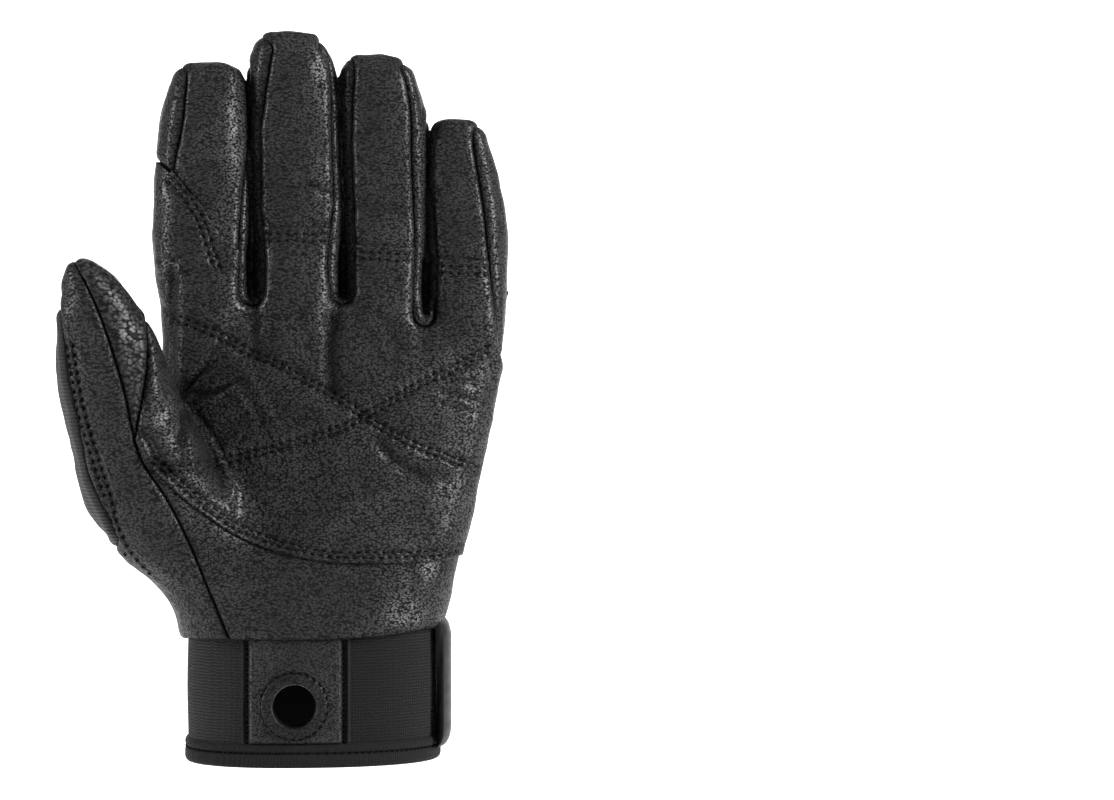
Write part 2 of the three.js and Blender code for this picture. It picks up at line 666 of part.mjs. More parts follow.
function circle(x, z, radius, sides) {
  return Array.from({ length: sides }, (_, i) => {
    const angle = (2 * Math.PI * i) / sides;
    return [x + radius * Math.cos(angle), z + radius * Math.sin(angle)];
  });
}

const rollLow = HEM_BINDING_HEIGHT + LAYER_GAP;
const rollHigh = rollLow + HEM_ROLL_HEIGHT;
const hole = frontPrism(circle(PATCH_CENTRE_X, HOLE_UP, HOLE_DIAMETER / 2, HOLE_SIDES), -FAR, 0);
const patchOuter = LAYER_GAP + PATCH_WALL;
const patchLow = rollHigh + LAYER_GAP;
const tapeReach = PATCH_WIDTH / 2 + LAYER_GAP + PATCH_TAPE_WIDTH;

const cuffBand = cuffBody(0, rollLow, CUFF_HEIGHT).subtract(cuffBody(-CUFF_WALL)).subtract(hole);
const hemBinding = edgeBand(0, HEM_BINDING_HEIGHT, -CUFF_WALL, HEM_PROUD);
const hemRoll = edgeBand(rollLow, rollHigh, LAYER_GAP, HEM_PROUD + LAYER_GAP);

function frontLayer(inner, outer, outline) {
  return cuffBody(outer).subtract(cuffBody(inner)).intersect(frontPrism(outline, -FAR, 0));
}

const [patchLeft, patchRight] = [PATCH_CENTRE_X - PATCH_WIDTH / 2, PATCH_CENTRE_X + PATCH_WIDTH / 2];
const patchOutline = box(patchLeft, patchRight, patchLow, CUFF_HEIGHT);
const hangPatch = frontLayer(LAYER_GAP, patchOuter, patchOutline).subtract(hole);
const tapeOuter = LAYER_GAP + PATCH_TAPE_WALL;
const thumbSideTape = frontLayer(
  LAYER_GAP,
  tapeOuter,
  box(PATCH_CENTRE_X - tapeReach, patchLeft - LAYER_GAP, patchLow, CUFF_HEIGHT),
);
const littleSideTape = frontLayer(
  LAYER_GAP,
  tapeOuter,
  box(patchRight + LAYER_GAP, PATCH_CENTRE_X + tapeReach, patchLow, CUFF_HEIGHT),
);

const ringFront = -(CUFF_DEPTH / 2 + patchOuter + LAYER_GAP + RING_WALL);
const ringOutline = circle(PATCH_CENTRE_X, HOLE_UP, HOLE_DIAMETER / 2 + RING_WIDTH, HOLE_SIDES);
const hangRing = frontPrism(ringOutline, ringFront, 0).subtract(cuffBody(patchOuter + LAYER_GAP)).subtract(hole);

const strapHigh = STRAP_LOW + STRAP_HEIGHT;
const strapEnd = -STRAP_END * CUFF_WIDTH;
const strapBack = frontPrism(
  [
    [strapEnd + STRAP_CORNER, STRAP_LOW],
    [FAR, STRAP_LOW],
    [FAR, strapHigh],
    [strapEnd + STRAP_CORNER, strapHigh],
    [strapEnd + STRAP_CORNER * 0.3, strapHigh - STRAP_CORNER * 0.3],
    [strapEnd, strapHigh - STRAP_CORNER],
    [strapEnd, STRAP_LOW + STRAP_CORNER],
    [strapEnd + STRAP_CORNER * 0.3, STRAP_LOW + STRAP_CORNER * 0.3],
  ],
  0,
  FAR,
);
const strapFront = frontPrism(
  [
    [STRAP_FRONT_EDGE * CUFF_WIDTH, STRAP_LOW + STRAP_CORNER],
    [STRAP_FRONT_EDGE * CUFF_WIDTH + STRAP_CORNER / 2, STRAP_LOW],
    [FAR, STRAP_LOW],
    [FAR, strapHigh],
    [STRAP_FRONT_EDGE * CUFF_WIDTH + STRAP_CORNER / 2, strapHigh],
    [STRAP_FRONT_EDGE * CUFF_WIDTH, strapHigh - STRAP_CORNER],
  ],
  -FAR,
  0,
);
const strapInside = cuffBody(STRAP_SIDE_CLEARANCE, -FAR, FAR, STRAP_BACK_CLEARANCE);
const strapOutside = cuffBody(STRAP_SIDE_CLEARANCE + STRAP_WALL, -FAR, FAR, STRAP_BACK_CLEARANCE + STRAP_WALL);
const closureStrap = strapOutside.subtract(strapInside).intersect(strapBack.add(strapFront));

const group = new THREE.Group();
group.name = "climbing_glove";
group.add(
  meshOf("palm_leather", panels.palm_leather, COLOURS.leather),
  ...FINGERS.map(({ name }) => meshOf(`${name}_front`, panels[`${name}_front`], COLOURS.leather)),
  meshOf("palm_overlay", panels.palm_overlay, COLOURS.leather),
  meshOf("thenar_panel", panels.thenar_panel, COLOURS.leather),
  meshOf("thumb_pad", panels.thumb_pad, COLOURS.leather),
  meshOf("back_panel", panels.back_panel, COLOURS.fabric),
  ...FINGERS.map(({ name }) => meshOf(`${name}_back`, panels[`${name}_back`], COLOURS.fabric)),
  meshOf("thumb_back", panels.thumb_back, COLOURS.fabric),
  meshOf("index_outer_gusset", panels.index_outer_gusset, COLOURS.leather),
  meshOf("index_middle_gusset", panels.index_middle_gusset, COLOURS.leather),
  meshOf("middle_ring_gusset", panels.middle_ring_gusset, COLOURS.leather),
  meshOf("ring_little_gusset", panels.ring_little_gusset, COLOURS.leather),
  meshOf("little_outer_gusset", panels.little_outer_gusset, COLOURS.leather),
  meshOf("cuff_band", cuffBand, COLOURS.knit),
  meshOf("hem_binding", hemBinding, COLOURS.knit),
  meshOf("hem_roll", hemRoll, COLOURS.knit),
  meshOf("hang_patch", hangPatch, COLOURS.leather),
  meshOf("thumb_side_tape", thumbSideTape, COLOURS.leather),
  meshOf("little_side_tape", littleSideTape, COLOURS.leather),
  meshOf("hang_ring", hangRing, COLOURS.leather),
  meshOf("closure_strap", closureStrap, COLOURS.rubber),
);

export default group;
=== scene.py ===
"""A left-hand climbing glove of black grained leather, seen from the palm side.

The hand is one smooth form, cut along its seams into panels that are then padded, rolled in at their
seams and creased. Seams and creases are drawn in the front view, in millimetres as the eye sees them,
and found again on the form.
Lengths are in millimetres until a mesh is made, which is in metres.
"""

import math

import bpy
import numpy as np
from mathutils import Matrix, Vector, noise
from mathutils.bvhtree import BVHTree
from mathutils.kdtree import KDTree


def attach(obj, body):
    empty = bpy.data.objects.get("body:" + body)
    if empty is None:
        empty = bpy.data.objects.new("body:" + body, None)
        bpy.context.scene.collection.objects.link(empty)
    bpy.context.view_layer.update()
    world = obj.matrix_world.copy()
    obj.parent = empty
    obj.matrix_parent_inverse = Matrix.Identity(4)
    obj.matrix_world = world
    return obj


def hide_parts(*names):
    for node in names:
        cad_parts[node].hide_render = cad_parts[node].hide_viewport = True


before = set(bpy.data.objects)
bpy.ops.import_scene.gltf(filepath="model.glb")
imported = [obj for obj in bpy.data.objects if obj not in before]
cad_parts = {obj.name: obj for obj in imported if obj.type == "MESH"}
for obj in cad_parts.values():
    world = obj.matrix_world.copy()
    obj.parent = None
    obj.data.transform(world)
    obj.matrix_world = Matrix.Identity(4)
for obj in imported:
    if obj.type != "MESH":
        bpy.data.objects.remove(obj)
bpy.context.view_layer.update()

MM = 0.001

# The eye, and how the front view's millimetres stand to the form's own
EYE = np.array([-10.0, -850.0, 116.0])
VIEW_SCALE = 1.015
HEM_IN_VIEW = 5.8
EYE_TURN = math.radians(6.09)
LENS = 83.0

CELL = 1.15  # grid on which the hand's form is found
LEATHER_WALL = 1.2
OVERLAY_LIFT = 1.3
LAYER_WALL = 1.15
KNIT_WALL = 2.0
TAPE_WALL = 0.9
FINGER_DEPTH_SHARE = 0.87
FINGER_POWER = 2.35
THUMB_POWER = 2.25
FINGER_CURL = 9.0
HAND_BLEND = 9.0
ROOT_BLEND = 2.0
BACK_SPLIT = 4.0
# Painted shade that a crease or stitch row gets for each millimetre of its depth
PAINTED_SHADE_PER_DEPTH = 0.65
FINGERTIP_CAP = 14.0
FINE_EDGE = 0.62  # longest edge near a seam
FINE_BAND = 2.0
FINE_CREASE = 1.8


def front_view(points):
    """Where points of the form are seen, as columns across and up."""
    nearness = -EYE[1] / (points[:, 1] - EYE[1])
    across = EYE[0] + (points[:, 0] - EYE[0]) * nearness
    up = EYE[2] + (points[:, 2] - EYE[2]) * nearness
    return np.stack([across / VIEW_SCALE, up / VIEW_SCALE + HEM_IN_VIEW], axis=1)


def placed(across, up, depth):
    """The x and z of something seen at a place in the front view, at a given depth."""
    shrink = (depth - EYE[1]) / -EYE[1]
    x = EYE[0] + (VIEW_SCALE * np.asarray(across, float) - EYE[0]) * shrink
    z = EYE[2] + (VIEW_SCALE * (np.asarray(up, float) - HEM_IN_VIEW) - EYE[2]) * shrink
    return x, z


def eased(t, start, end, start_rise, end_rise):
    """A value part of the way between two others, with a given rise at each."""
    return (
        start * (1 + 2 * t) * (1 - t) ** 2
        + end * t * t * (3 - 2 * t)
        + start_rise * t * (1 - t) ** 2
        + end_rise * t * t * (t - 1)
    )


def smooth_curve(xs, ys):
    """A curve through points that never overshoots them."""
    xs, ys = np.asarray(xs, float), np.asarray(ys, float)
    steps, rises = np.diff(xs), np.diff(ys) / np.diff(xs)
    slopes = np.zeros_like(xs)
    same = rises[1:] * rises[:-1] > 0
    w1, w2 = 2 * steps[1:] + steps[:-1], steps[1:] + 2 * steps[:-1]
    safe = np.where(same, rises[:-1], 1), np.where(same, rises[1:], 1)
    slopes[1:-1] = np.where(same, (w1 + w2) / (w1 / safe[0] + w2 / safe[1]), 0)
    slopes[0], slopes[-1] = rises[0], rises[-1]

    def value(at):
        at = np.clip(at, xs[0], xs[-1])
        i = np.clip(np.searchsorted(xs, at) - 1, 0, len(xs) - 2)
        h = xs[i + 1] - xs[i]
        return eased((at - xs[i]) / h, ys[i], ys[i + 1], h * slopes[i], h * slopes[i + 1])

    return value


# ---- The hand's form ----

# Outlines in the front view from the bottom up: up, left edge, right edge
FINGER_OUTLINES = {
    "index": [
        (128, -45.6, -23), (140, -47.2, -21), (150, -48.4, -19.6), (162, -49.8, -19.4), (175, -50.2, -19.5),
        (190, -50.2, -20), (199, -50.2, -20.3), (204, -50, -20.4), (209.4, -49.4, -20.6),
        (213.3, -48.8, -20.8), (217.2, -47.9, -21.1), (221, -46.8, -21.5), (223, -45.9, -22),
        (225, -44.9, -22.8), (227, -43.4, -23.9), (228.6, -41.5, -26.4), (229.9, -34.2, -33.8),
    ],
    "middle": [
        (128, -18.5, 8), (140, -19.4, 9.2), (150, -19.9, 9.8), (162, -20, 9.9), (175, -20.1, 9.9),
        (190, -20.5, 9.6), (204, -20.9, 9.2), (213, -21.1, 8.8), (221, -21.2, 8.1), (225, -21.3, 7.5),
        (228.9, -20.8, 6.6), (230.9, -20.4, 5.9), (232.8, -19.8, 4.9), (234.8, -19, 3.6),
        (236.7, -17.8, 2.2), (238.7, -15.9, 0.4), (240.1, -8, -7.6),
    ],
    "ring": [
        (128, 11, 35), (140, 9.8, 36.2), (150, 9.3, 36.8), (162, 9.2, 37), (175, 9.2, 37.2), (190, 9, 37.5),
        (200, 8.8, 37.6), (208, 8.6, 37.3), (213.3, 8.4, 36.6), (217.2, 8.1, 35.6), (221.1, 8, 34.5),
        (223, 8.1, 33.9), (225, 8.3, 33.2), (227, 8.8, 32.2), (228.9, 9.9, 30.3), (231.3, 11.6, 27.9),
        (233, 19.6, 20),
    ],
    "little": [
        (124, 40, 57.4), (134, 37.8, 60), (144.2, 36.8, 61.6), (157.9, 36.4, 62.8), (166, 36.3, 63.2),
        (171.6, 36.3, 63.2), (180.7, 36.5, 62.5), (185.3, 36.6, 61.9), (189.8, 36.8, 61),
        (194.4, 36.9, 60.1), (198.9, 37.1, 58.8), (203.5, 37.4, 57.2), (207, 37.9, 55.8),
        (209.4, 38.6, 54.2), (211.4, 40.6, 51.4), (212.5, 45.4, 45.8),
    ],
}
# up, left edge, right edge, depth of the middle, half depth
THUMB_OUTLINE = [
    (46, -38, -14, 0, 17), (53, -41.8, -12, -1.5, 18), (57.6, -45.4, -11, -3.2, 18.5),
    (62.2, -50.6, -13, -5, 19), (66.7, -57, -16, -6.6, 19.3), (71.3, -62, -18, -8.2, 19.4),
    (75.9, -65, -20, -10, 19.4), (80.4, -68.8, -22, -11.6, 19.3), (85, -72, -25, -13.2, 19.1),
    (94, -75, -31, -16.4, 18.7), (103, -76.7, -36, -19.7, 18.1), (112.3, -79.2, -40, -23, 17.5),
    (121.5, -81.4, -44, -26.3, 16.7), (130.6, -82.4, -47.8, -29.6, 15.7), (139.7, -82, -50.9, -32.8, 14.3),
    (144.2, -81.8, -52.9, -34.3, 13.5), (148.8, -81.4, -55.3, -35.8, 12.5),
    (153.4, -80.6, -58.2, -37.3, 11.3), (157.9, -80.6, -61.8, -38.6, 9.6), (162.5, -78.9, -66.3, -40, 7),
    (164.4, -77.4, -69.2, -40.6, 5), (165.9, -73.6, -73.2, -41, 0.3),
]
# up, left edge, right edge, front, back, roundness
PALM_OUTLINE = [
    (32, -40.6, 40.8, -29.8, 29, 2.3), (42.5, -41.1, 41, -30.2, 28.6, 2.3),
    (48, -41.7, 41.8, -29.6, 27.2, 2.35), (53, -42.6, 43.6, -28.4, 25.4, 2.4),
    (62.2, -45, 46, -26, 22.6, 2.45), (71, -47.2, 47.6, -23.8, 20.6, 2.5),
    (81, -48.8, 49.8, -21.8, 19.2, 2.55), (94, -49.6, 52.6, -20, 18.6, 2.6),
    (103, -49.4, 54.8, -18.9, 18.2, 2.6), (112, -48.6, 56.7, -18.2, 18, 2.6),
    (121.5, -47.4, 58.4, -17.6, 17.8, 2.6), (135, -46.6, 59.6, -15, 17, 2.6),
    (144, -45.4, 58.6, -12.8, 15.4, 2.6), (149, -44, 57.4, -11.6, 13.4, 2.6),
    (152.5, -41.6, 55, -9.6, 10.4, 2.6), (155.2, -36, 50, -0.4, 0.6, 2.6),
]


def limb(rows):
    """Curves of a limb's middle, squared half sizes and roundness over its height.

    A row has up, left, right, front, back and roundness.
    """
    up, left, right, front, back, roundness = np.array(rows, float).T
    depth = (front + back) / 2
    left_x, height = placed(left, up, depth)
    right_x, _ = placed(right, up, depth)
    order = np.argsort(height)
    columns = {
        "x": (left_x + right_x) / 2,
        "y": depth,
        "half_width": ((right_x - left_x) / 2) ** 2,
        "half_depth": ((back - front) / 2) ** 2,
        "roundness": roundness,
    }
    curves = {name: smooth_curve(height[order], column[order]) for name, column in columns.items()}
    return {**curves, "low": height.min(), "high": height.max()}


FINGER_ROOT = 153  # height at which the fingers begin to curl
SWELL_TOP, SWELL_REACH, SWELL = 168, 18, 0.1


def finger_rows(rows):
    """A finger's rows with its depth, from how wide it is, and its curl towards the palm."""
    top = rows[-1][0]
    made = []
    for up, left, right in rows:
        share = max((up - FINGER_ROOT) / (top - FINGER_ROOT), 0)
        middle = -FINGER_CURL * share**2
        swell = SWELL * min(max((SWELL_TOP - up) / SWELL_REACH, 0), 1)
        half = (FINGER_DEPTH_SHARE + swell) * (right - left) / 2
        made.append((up, left, right, middle - half, middle + half, FINGER_POWER))
    return made


LIMBS = {name: limb(finger_rows(rows)) for name, rows in FINGER_OUTLINES.items()}
FINGER_NAMES = list(LIMBS)
LIMBS["thumb"] = limb(
    [(up, left, right, y - half, y + half, THUMB_POWER) for up, left, right, y, half in THUMB_OUTLINE]
)
LIMBS["palm"] = limb(PALM_OUTLINE)


def limb_field(name, x, y, z):
    """Roughly the distance outside a limb, negative inside it."""
    shape = LIMBS[name]
    half_width = np.sqrt(np.maximum(shape["half_width"](z), 0.01))
    half_depth = np.sqrt(np.maximum(shape["half_depth"](z), 0.01))
    power = shape["roundness"](z)
    across = np.abs(x - shape["x"](z)) / half_width
    deep = np.abs(y - shape["y"](z)) / half_depth
    radius = (across**power + deep**power) ** (1 / power)
    distance = (radius - 1) * np.minimum(half_width, half_depth)
    return np.maximum(distance, np.maximum(z - shape["high"], shape["low"] - z))


def melt(a, b, reach):
    """Union of two fields with a fillet."""
    overlap = np.maximum(reach - np.abs(a - b), 0) / reach
    return np.minimum(a, b) - overlap**2 * reach / 4


def hand_field(x, y, z):
    palm = melt(limb_field("palm", x, y, z), limb_field("thumb", x, y, z), HAND_BLEND)
    fingers = limb_field(FINGER_NAMES[0], x, y, z)
    for name in FINGER_NAMES[1:]:
        fingers = np.minimum(fingers, limb_field(name, x, y, z))
    return melt(palm, fingers, ROOT_BLEND)


def field_at(points):
    return hand_field(points[:, 0], points[:, 1], points[:, 2])


def outward(points, reach=0.25):
    """Slope of the field at points, and its direction."""
    slope = np.empty_like(points)
    for axis in range(3):
        step = np.zeros(3)
        step[axis] = reach
        slope[:, axis] = (field_at(points + step) - field_at(points - step)) / (2 * reach)
    length = np.linalg.norm(slope, axis=1, keepdims=True)
    return slope, slope / np.maximum(length, 1e-9)


def settle(points, rounds=3):
    """Moves points onto the form."""
    for _ in range(rounds):
        slope, _ = outward(points, 0.1)
        size = np.maximum((slope**2).sum(axis=1), 0.05)
        step = np.clip(field_at(points) / size, -2, 2)
        points = points - slope * step[:, None]
    return points


def wrapped_mesh(low, high, cell):
    """Closed mesh of quads round the form, from a grid of cells."""
    axes = [np.arange(low[i], high[i] + cell, cell) for i in range(3)]
    values = hand_field(axes[0][:, None, None], axes[1][None, :, None], axes[2][None, None, :])
    inside = values < 0
    count = np.zeros(np.array(inside.shape) - 1, int)
    corners = [(i, j, k) for i in (0, 1) for j in (0, 1) for k in (0, 1)]
    shape = count.shape
    for i, j, k in corners:
        count += inside[i : i + shape[0], j : j + shape[1], k : k + shape[2]]
    cells = np.argwhere((count > 0) & (count < 8))
    index = np.full(shape, -1)
    index[tuple(cells.T)] = np.arange(len(cells))
    total, hits = np.zeros((len(cells), 3)), np.zeros(len(cells))
    for a in corners:
        for axis in range(3):
            if a[axis]:
                continue
            b = list(a)
            b[axis] = 1
            start, end = cells + a, cells + b
            va, vb = values[tuple(start.T)], values[tuple(end.T)]
            crossed = (va < 0) != (vb < 0)
            share = np.where(crossed, va / np.where(crossed, va - vb, 1), 0)
            point = start + share[:, None] * (end - start)
            total[crossed] += point[crossed]
            hits += crossed
    points = total / hits[:, None] * cell + np.array([axis[0] for axis in axes])
    quads = []
    for axis in range(3):
        u, v = (axis + 1) % 3, (axis + 2) % 3
        first = np.take(inside, range(inside.shape[axis] - 1), axis)
        second = np.take(inside, range(1, inside.shape[axis]), axis)
        edges = np.argwhere(first != second)
        edges = edges[(edges[:, u] > 0) & (edges[:, v] > 0)]
        edges = edges[(edges[:, u] < shape[u]) & (edges[:, v] < shape[v])]
        leaving = first[tuple(edges.T)]
        ring = []
        for du, dv in ((-1, -1), (0, -1), (0, 0), (-1, 0)):
            cell_at = edges.copy()
            cell_at[:, u] += du
            cell_at[:, v] += dv
            ring.append(index[tuple(cell_at.T)])
        ring = np.stack(ring, axis=1)
        quads.append(np.where(leaving[:, None], ring, ring[:, ::-1]))
    return points, np.concatenate(quads)


def split_quads(quads):
    return np.concatenate([quads[:, [0, 1, 2]], quads[:, [0, 2, 3]]])


def relax(points, quads):
    """Evens out the spacing of a mesh's points."""
    pairs = np.concatenate([quads[:, [i, (i + 1) % 4]] for i in range(4)])
    pairs = np.concatenate([pairs, pairs[:, ::-1]])
    degree = np.bincount(pairs[:, 0], minlength=len(points))
    around = [np.bincount(pairs[:, 0], points[pairs[:, 1], i], len(points)) for i in range(3)]
    return (points + np.stack(around, axis=1) / np.maximum(degree, 1)[:, None]) / 2


# ---- Cutting along seams ----


def edges_of(triangles, count):
    """Each edge once, and the three edges of each triangle."""
    both = np.concatenate([triangles[:, [0, 1]], triangles[:, [1, 2]], triangles[:, [2, 0]]])
    both = np.sort(both, axis=1)
    keys, which = np.unique(both[:, 0] * np.int64(count) + both[:, 1], return_inverse=True)
    return np.stack([keys // count, keys % count], axis=1), which.reshape(3, -1).T


def split_edges(points, triangles, marked, middles, edge_of):
    """Puts a point into each marked edge and divides the triangles there."""
    new_index = np.full(len(marked), -1)
    new_index[marked] = len(points) + np.arange(marked.sum())
    points = np.concatenate([points, middles])
    cut, middle = marked[edge_of], new_index[edge_of]
    count = cut.sum(axis=1)
    made = [triangles[count == 0]]
    for k in range(3):
        a, b, c = k, (k + 1) % 3, (k + 2) % 3
        one = (count == 1) & cut[:, k]
        t, p = triangles[one], middle[one, k]
        made += [np.stack([t[:, a], p, t[:, c]], 1), np.stack([p, t[:, b], t[:, c]], 1)]
        two = (count == 2) & ~cut[:, k]
        t, p, q = triangles[two], middle[two, b], middle[two, c]
        parts = [t[:, c], q, p], [t[:, a], t[:, b], p], [t[:, a], p, q]
        made += [np.stack(corners, 1) for corners in parts]
    three = count == 3
    t, m = triangles[three], middle[three]
    made += [np.stack([t[:, k], m[:, k], m[:, (k + 2) % 3]], 1) for k in range(3)] + [m]
    return points, np.concatenate(made)


def cut(points, triangles, zone):
    """Divides a mesh where a zone's field is zero. Returns the part inside and the rest."""
    points = points.copy()
    value = zone(points)
    pairs, _ = edges_of(triangles, len(points))
    a, b = pairs.T
    crossed = value[a] * value[b] < 0
    share = np.where(crossed, value[a] / np.where(crossed, value[a] - value[b], 1), 0.5)
    for end, other, near in ((a, b, share), (b, a, 1 - share)):
        close = crossed & (near < 0.3)
        order = np.argsort(-near[close])
        moved, to, by = end[close][order], other[close][order], near[close][order]
        free = value[moved] != 0
        moved, to, by = moved[free], to[free], by[free]
        points[moved] += (points[to] - points[moved]) * by[:, None]
        value[moved] = 0
    pairs, edge_of = edges_of(triangles, len(points))
    a, b = pairs.T
    crossed = value[a] * value[b] < 0
    share = value[a][crossed] / (value[a][crossed] - value[b][crossed])
    middles = points[a[crossed]] + (points[b[crossed]] - points[a[crossed]]) * share[:, None]
    points, triangles = split_edges(points, triangles, crossed, middles, edge_of)
    value = np.concatenate([value, np.zeros(len(middles))])
    within = value[triangles].sum(axis=1) < 0
    return tidy(points, triangles[within]), tidy(points, triangles[~within])


def tidy(points, triangles):
    """Drops the points that no triangle uses."""
    used, renumbered = np.unique(triangles, return_inverse=True)
    return points[used], renumbered.reshape(-1, 3)


def refine(points, triangles, near, longest):
    """Divides the long edges wherever a test says that detail is near."""
    pairs, edge_of = edges_of(triangles, len(points))
    length = np.linalg.norm(points[pairs[:, 0]] - points[pairs[:, 1]], axis=1)
    wanted = near(points)
    marked = (length > longest) & wanted[pairs[:, 0]] & wanted[pairs[:, 1]]
    middles = (points[pairs[marked, 0]] + points[pairs[marked, 1]]) / 2
    return split_edges(points, triangles, marked, middles, edge_of)


def path_distance(seen, path):
    """Distance of seen points from a path in the front view."""
    path = np.asarray(path, float)
    best = np.full(len(seen), 1e9)
    for start, end in zip(path[:-1], path[1:]):
        along = end - start
        t = np.clip(((seen - start) @ along) / (along @ along), 0, 1)
        best = np.minimum(best, np.hypot(*(seen - start - t[:, None] * along).T))
    return best


def outline_field(seen, outline):
    """Distance from an outline in the front view, negative within it."""
    outline = np.asarray(outline, float)
    within = np.zeros(len(seen), bool)
    for start, end in zip(outline, np.roll(outline, -1, axis=0)):
        spans = (start[1] > seen[:, 1]) != (end[1] > seen[:, 1])
        rise = end[1] - start[1] if end[1] != start[1] else 1.0
        at = start[0] + (seen[:, 1] - start[1]) / rise * (end[0] - start[0])
        within ^= spans & (seen[:, 0] < at)
    distance = path_distance(seen, np.concatenate([outline, outline[:1]]))
    return np.where(within, -distance, distance)


def run_along(path):
    """How far along a path each of its points is."""
    return np.concatenate([[0], np.cumsum(np.hypot(*np.diff(path, axis=0).T))])


def rounded(path, steps=4):
    """More points on a path, so that it runs smoothly through the given ones."""
    path = np.asarray(path, float)
    along = run_along(path)
    spans = [np.linspace(a, b, steps, endpoint=False) for a, b in zip(along[:-1], along[1:])]
    fine = np.concatenate([*spans, along[-1:]])
    tangent = np.gradient(path, along, axis=0)
    i = np.clip(np.searchsorted(along, fine, side="right") - 1, 0, len(along) - 2)
    h = (along[i + 1] - along[i])[:, None]
    t = (fine[:, None] - along[i][:, None]) / h
    return eased(t, path[i], path[i + 1], h * tangent[i], h * tangent[i + 1])


# ---- Seams in the front view ----

INDEX_OUTER_SEAM = [
    (-45.5, 193.7), (-44.7, 197.6), (-42.9, 206.2), (-41.7, 215.6), (-41, 224), (-41.2, 226.9),
    (-43.2, 228.6), (-46, 229.4),
]
MIDDLE_LEFT_SEAM = [
    (-15.7, 155.5), (-15.4, 164), (-16.4, 177), (-17.1, 184), (-17.4, 197.4), (-17.1, 210.6),
    (-15.7, 220.6), (-13.9, 230.6), (-13.4, 235.6), (-16.2, 237.9), (-19.5, 239.2),
]
INDEX_RIGHT_SEAM = [
    (-24.2, 155.5), (-23.8, 170.8), (-22.9, 184), (-21.7, 195), (-20.8, 206), (-20.6, 218), (-20.9, 232),
]
MIDDLE_RIGHT_SEAM = [
    (5.9, 154.8), (4.6, 161), (5.2, 174), (7, 187.4), (6.4, 197.4), (6.2, 210.6), (5.9, 223.9),
    (4.4, 231.9), (2, 235.8), (2.6, 238.4), (5, 240),
]
RING_LEFT_SEAM = [
    (13.2, 154.8), (13.5, 170.8), (12.5, 187.4), (12, 204), (12.2, 217.3), (13, 227.2), (13, 230),
    (10.8, 231.8), (7.5, 232.6),
]
RING_RIGHT_SEAM = [
    (32.4, 149), (32.3, 157.5), (33.1, 170.8), (32.8, 184), (32.1, 197.4), (31.4, 217.3), (29.8, 225.6),
    (28.4, 229), (30.4, 231), (34, 231.6),
]
LITTLE_LEFT_SEAM = [(39.7, 149), (40.1, 162), (39.4, 174), (38.2, 184), (37.2, 194), (36.9, 214)]
LITTLE_OUTER_SEAM = [
    (60.9, 133.6), (59.3, 144.6), (59, 148.2), (58, 157.5), (56.7, 170.8), (55.4, 184.1), (53, 197.4),
    (52, 205), (52.3, 208.6), (54.5, 210.4), (58, 211),
]
THENAR_SEAM = [
    (-22, 32), (-27, 43.1), (-33.5, 58.1), (-39.8, 73.6), (-47.7, 89.4), (-54, 98.9), (-58, 109.9),
    (-60.4, 121.7), (-63.5, 132.8), (-68.2, 147), (-73, 158), (-76.2, 164),
]
FABRIC_EDGE = [
    (-72, 66), (-66, 70), (-63.2, 74.5), (-64.8, 79), (-69, 88.6), (-72.2, 97.3), (-74.2, 105.2),
    (-76.5, 117), (-78.9, 128.1), (-80.1, 139.1), (-81.2, 149), (-81.9, 153.7), (-84, 156),
]
PAD_SEAM = [
    (-57.1, 108.6), (-56, 115), (-54.6, 122), (-53.2, 131), (-52.8, 138), (-53.3, 143), (-54, 147),
    (-54.4, 152), (-56, 160),
]
OVERLAY_LOW_EDGE = [
    (-60, 101.6), (-54, 99.6), (-50.5, 96.9), (-46.5, 93.3), (-42.5, 89.4), (-37, 84.7), (-29.1, 78.9),
    (-21.2, 74.8), (-13.3, 71.8), (-5.4, 69.7), (2.5, 68.1), (10.4, 67.4), (18.3, 67.3), (26.2, 67.3),
    (34.1, 67.5), (41.9, 68.2), (48.5, 70.4), (80, 76),
]
INDEX_DIAGONAL = [
    (-18, 165), (-25.9, 170.1), (-29, 173.2), (-32.8, 177.6), (-35.3, 182.5), (-40.3, 188.2),
    (-45.2, 194.7), (-50.7, 199.1), (-56, 203),
]
OVERLAY_TOP_EDGE = [
    (80, 166.1), (57.4, 166.1), (40.1, 166.8), (36.5, 168.6), (32.6, 170.4), (14.3, 171.4), (9, 174),
    (4.2, 176.8), (-16.6, 176.8),
]
THUMB_SIDE_EDGE = [(-70, 180), (-70, 101.6)]


def gap_outline(left_seam, right_seam, foot):
    """Outline of the side gusset between two fingers, with a round foot."""
    left, right = rounded(left_seam), rounded(right_seam)
    middle, half = (left[0] + right[0]) / 2, (right[0][0] - left[0][0]) / 2
    turn = np.linspace(math.pi, 2 * math.pi, 13)[1:-1]
    low = np.stack([middle[0] + half * np.cos(turn), foot + half + half * np.sin(turn)], axis=1)
    return np.concatenate([left[::-1], low, right])


GAP_OUTLINES = [
    gap_outline(INDEX_RIGHT_SEAM, MIDDLE_LEFT_SEAM, 151.2),
    gap_outline(MIDDLE_RIGHT_SEAM, RING_LEFT_SEAM, 151.6),
    gap_outline(RING_RIGHT_SEAM, LITTLE_LEFT_SEAM, 144.5),
]


CURL_LOW, CURL_REACH = 150, 86
CLOTH_LOW, CLOTH_HIGH = 65.5, 150  # where the thumb's back is cloth on its inner side too


def finger_of(points):
    """Which finger each point is nearest to."""
    x, y, z = points.T
    return np.argmin([limb_field(name, x, y, z) for name in FINGER_NAMES], axis=0)


def finger_tops(points):
    """How high the finger nearest to each point reaches."""
    return np.array([LIMBS[name]["high"] for name in FINGER_NAMES])[finger_of(points)]


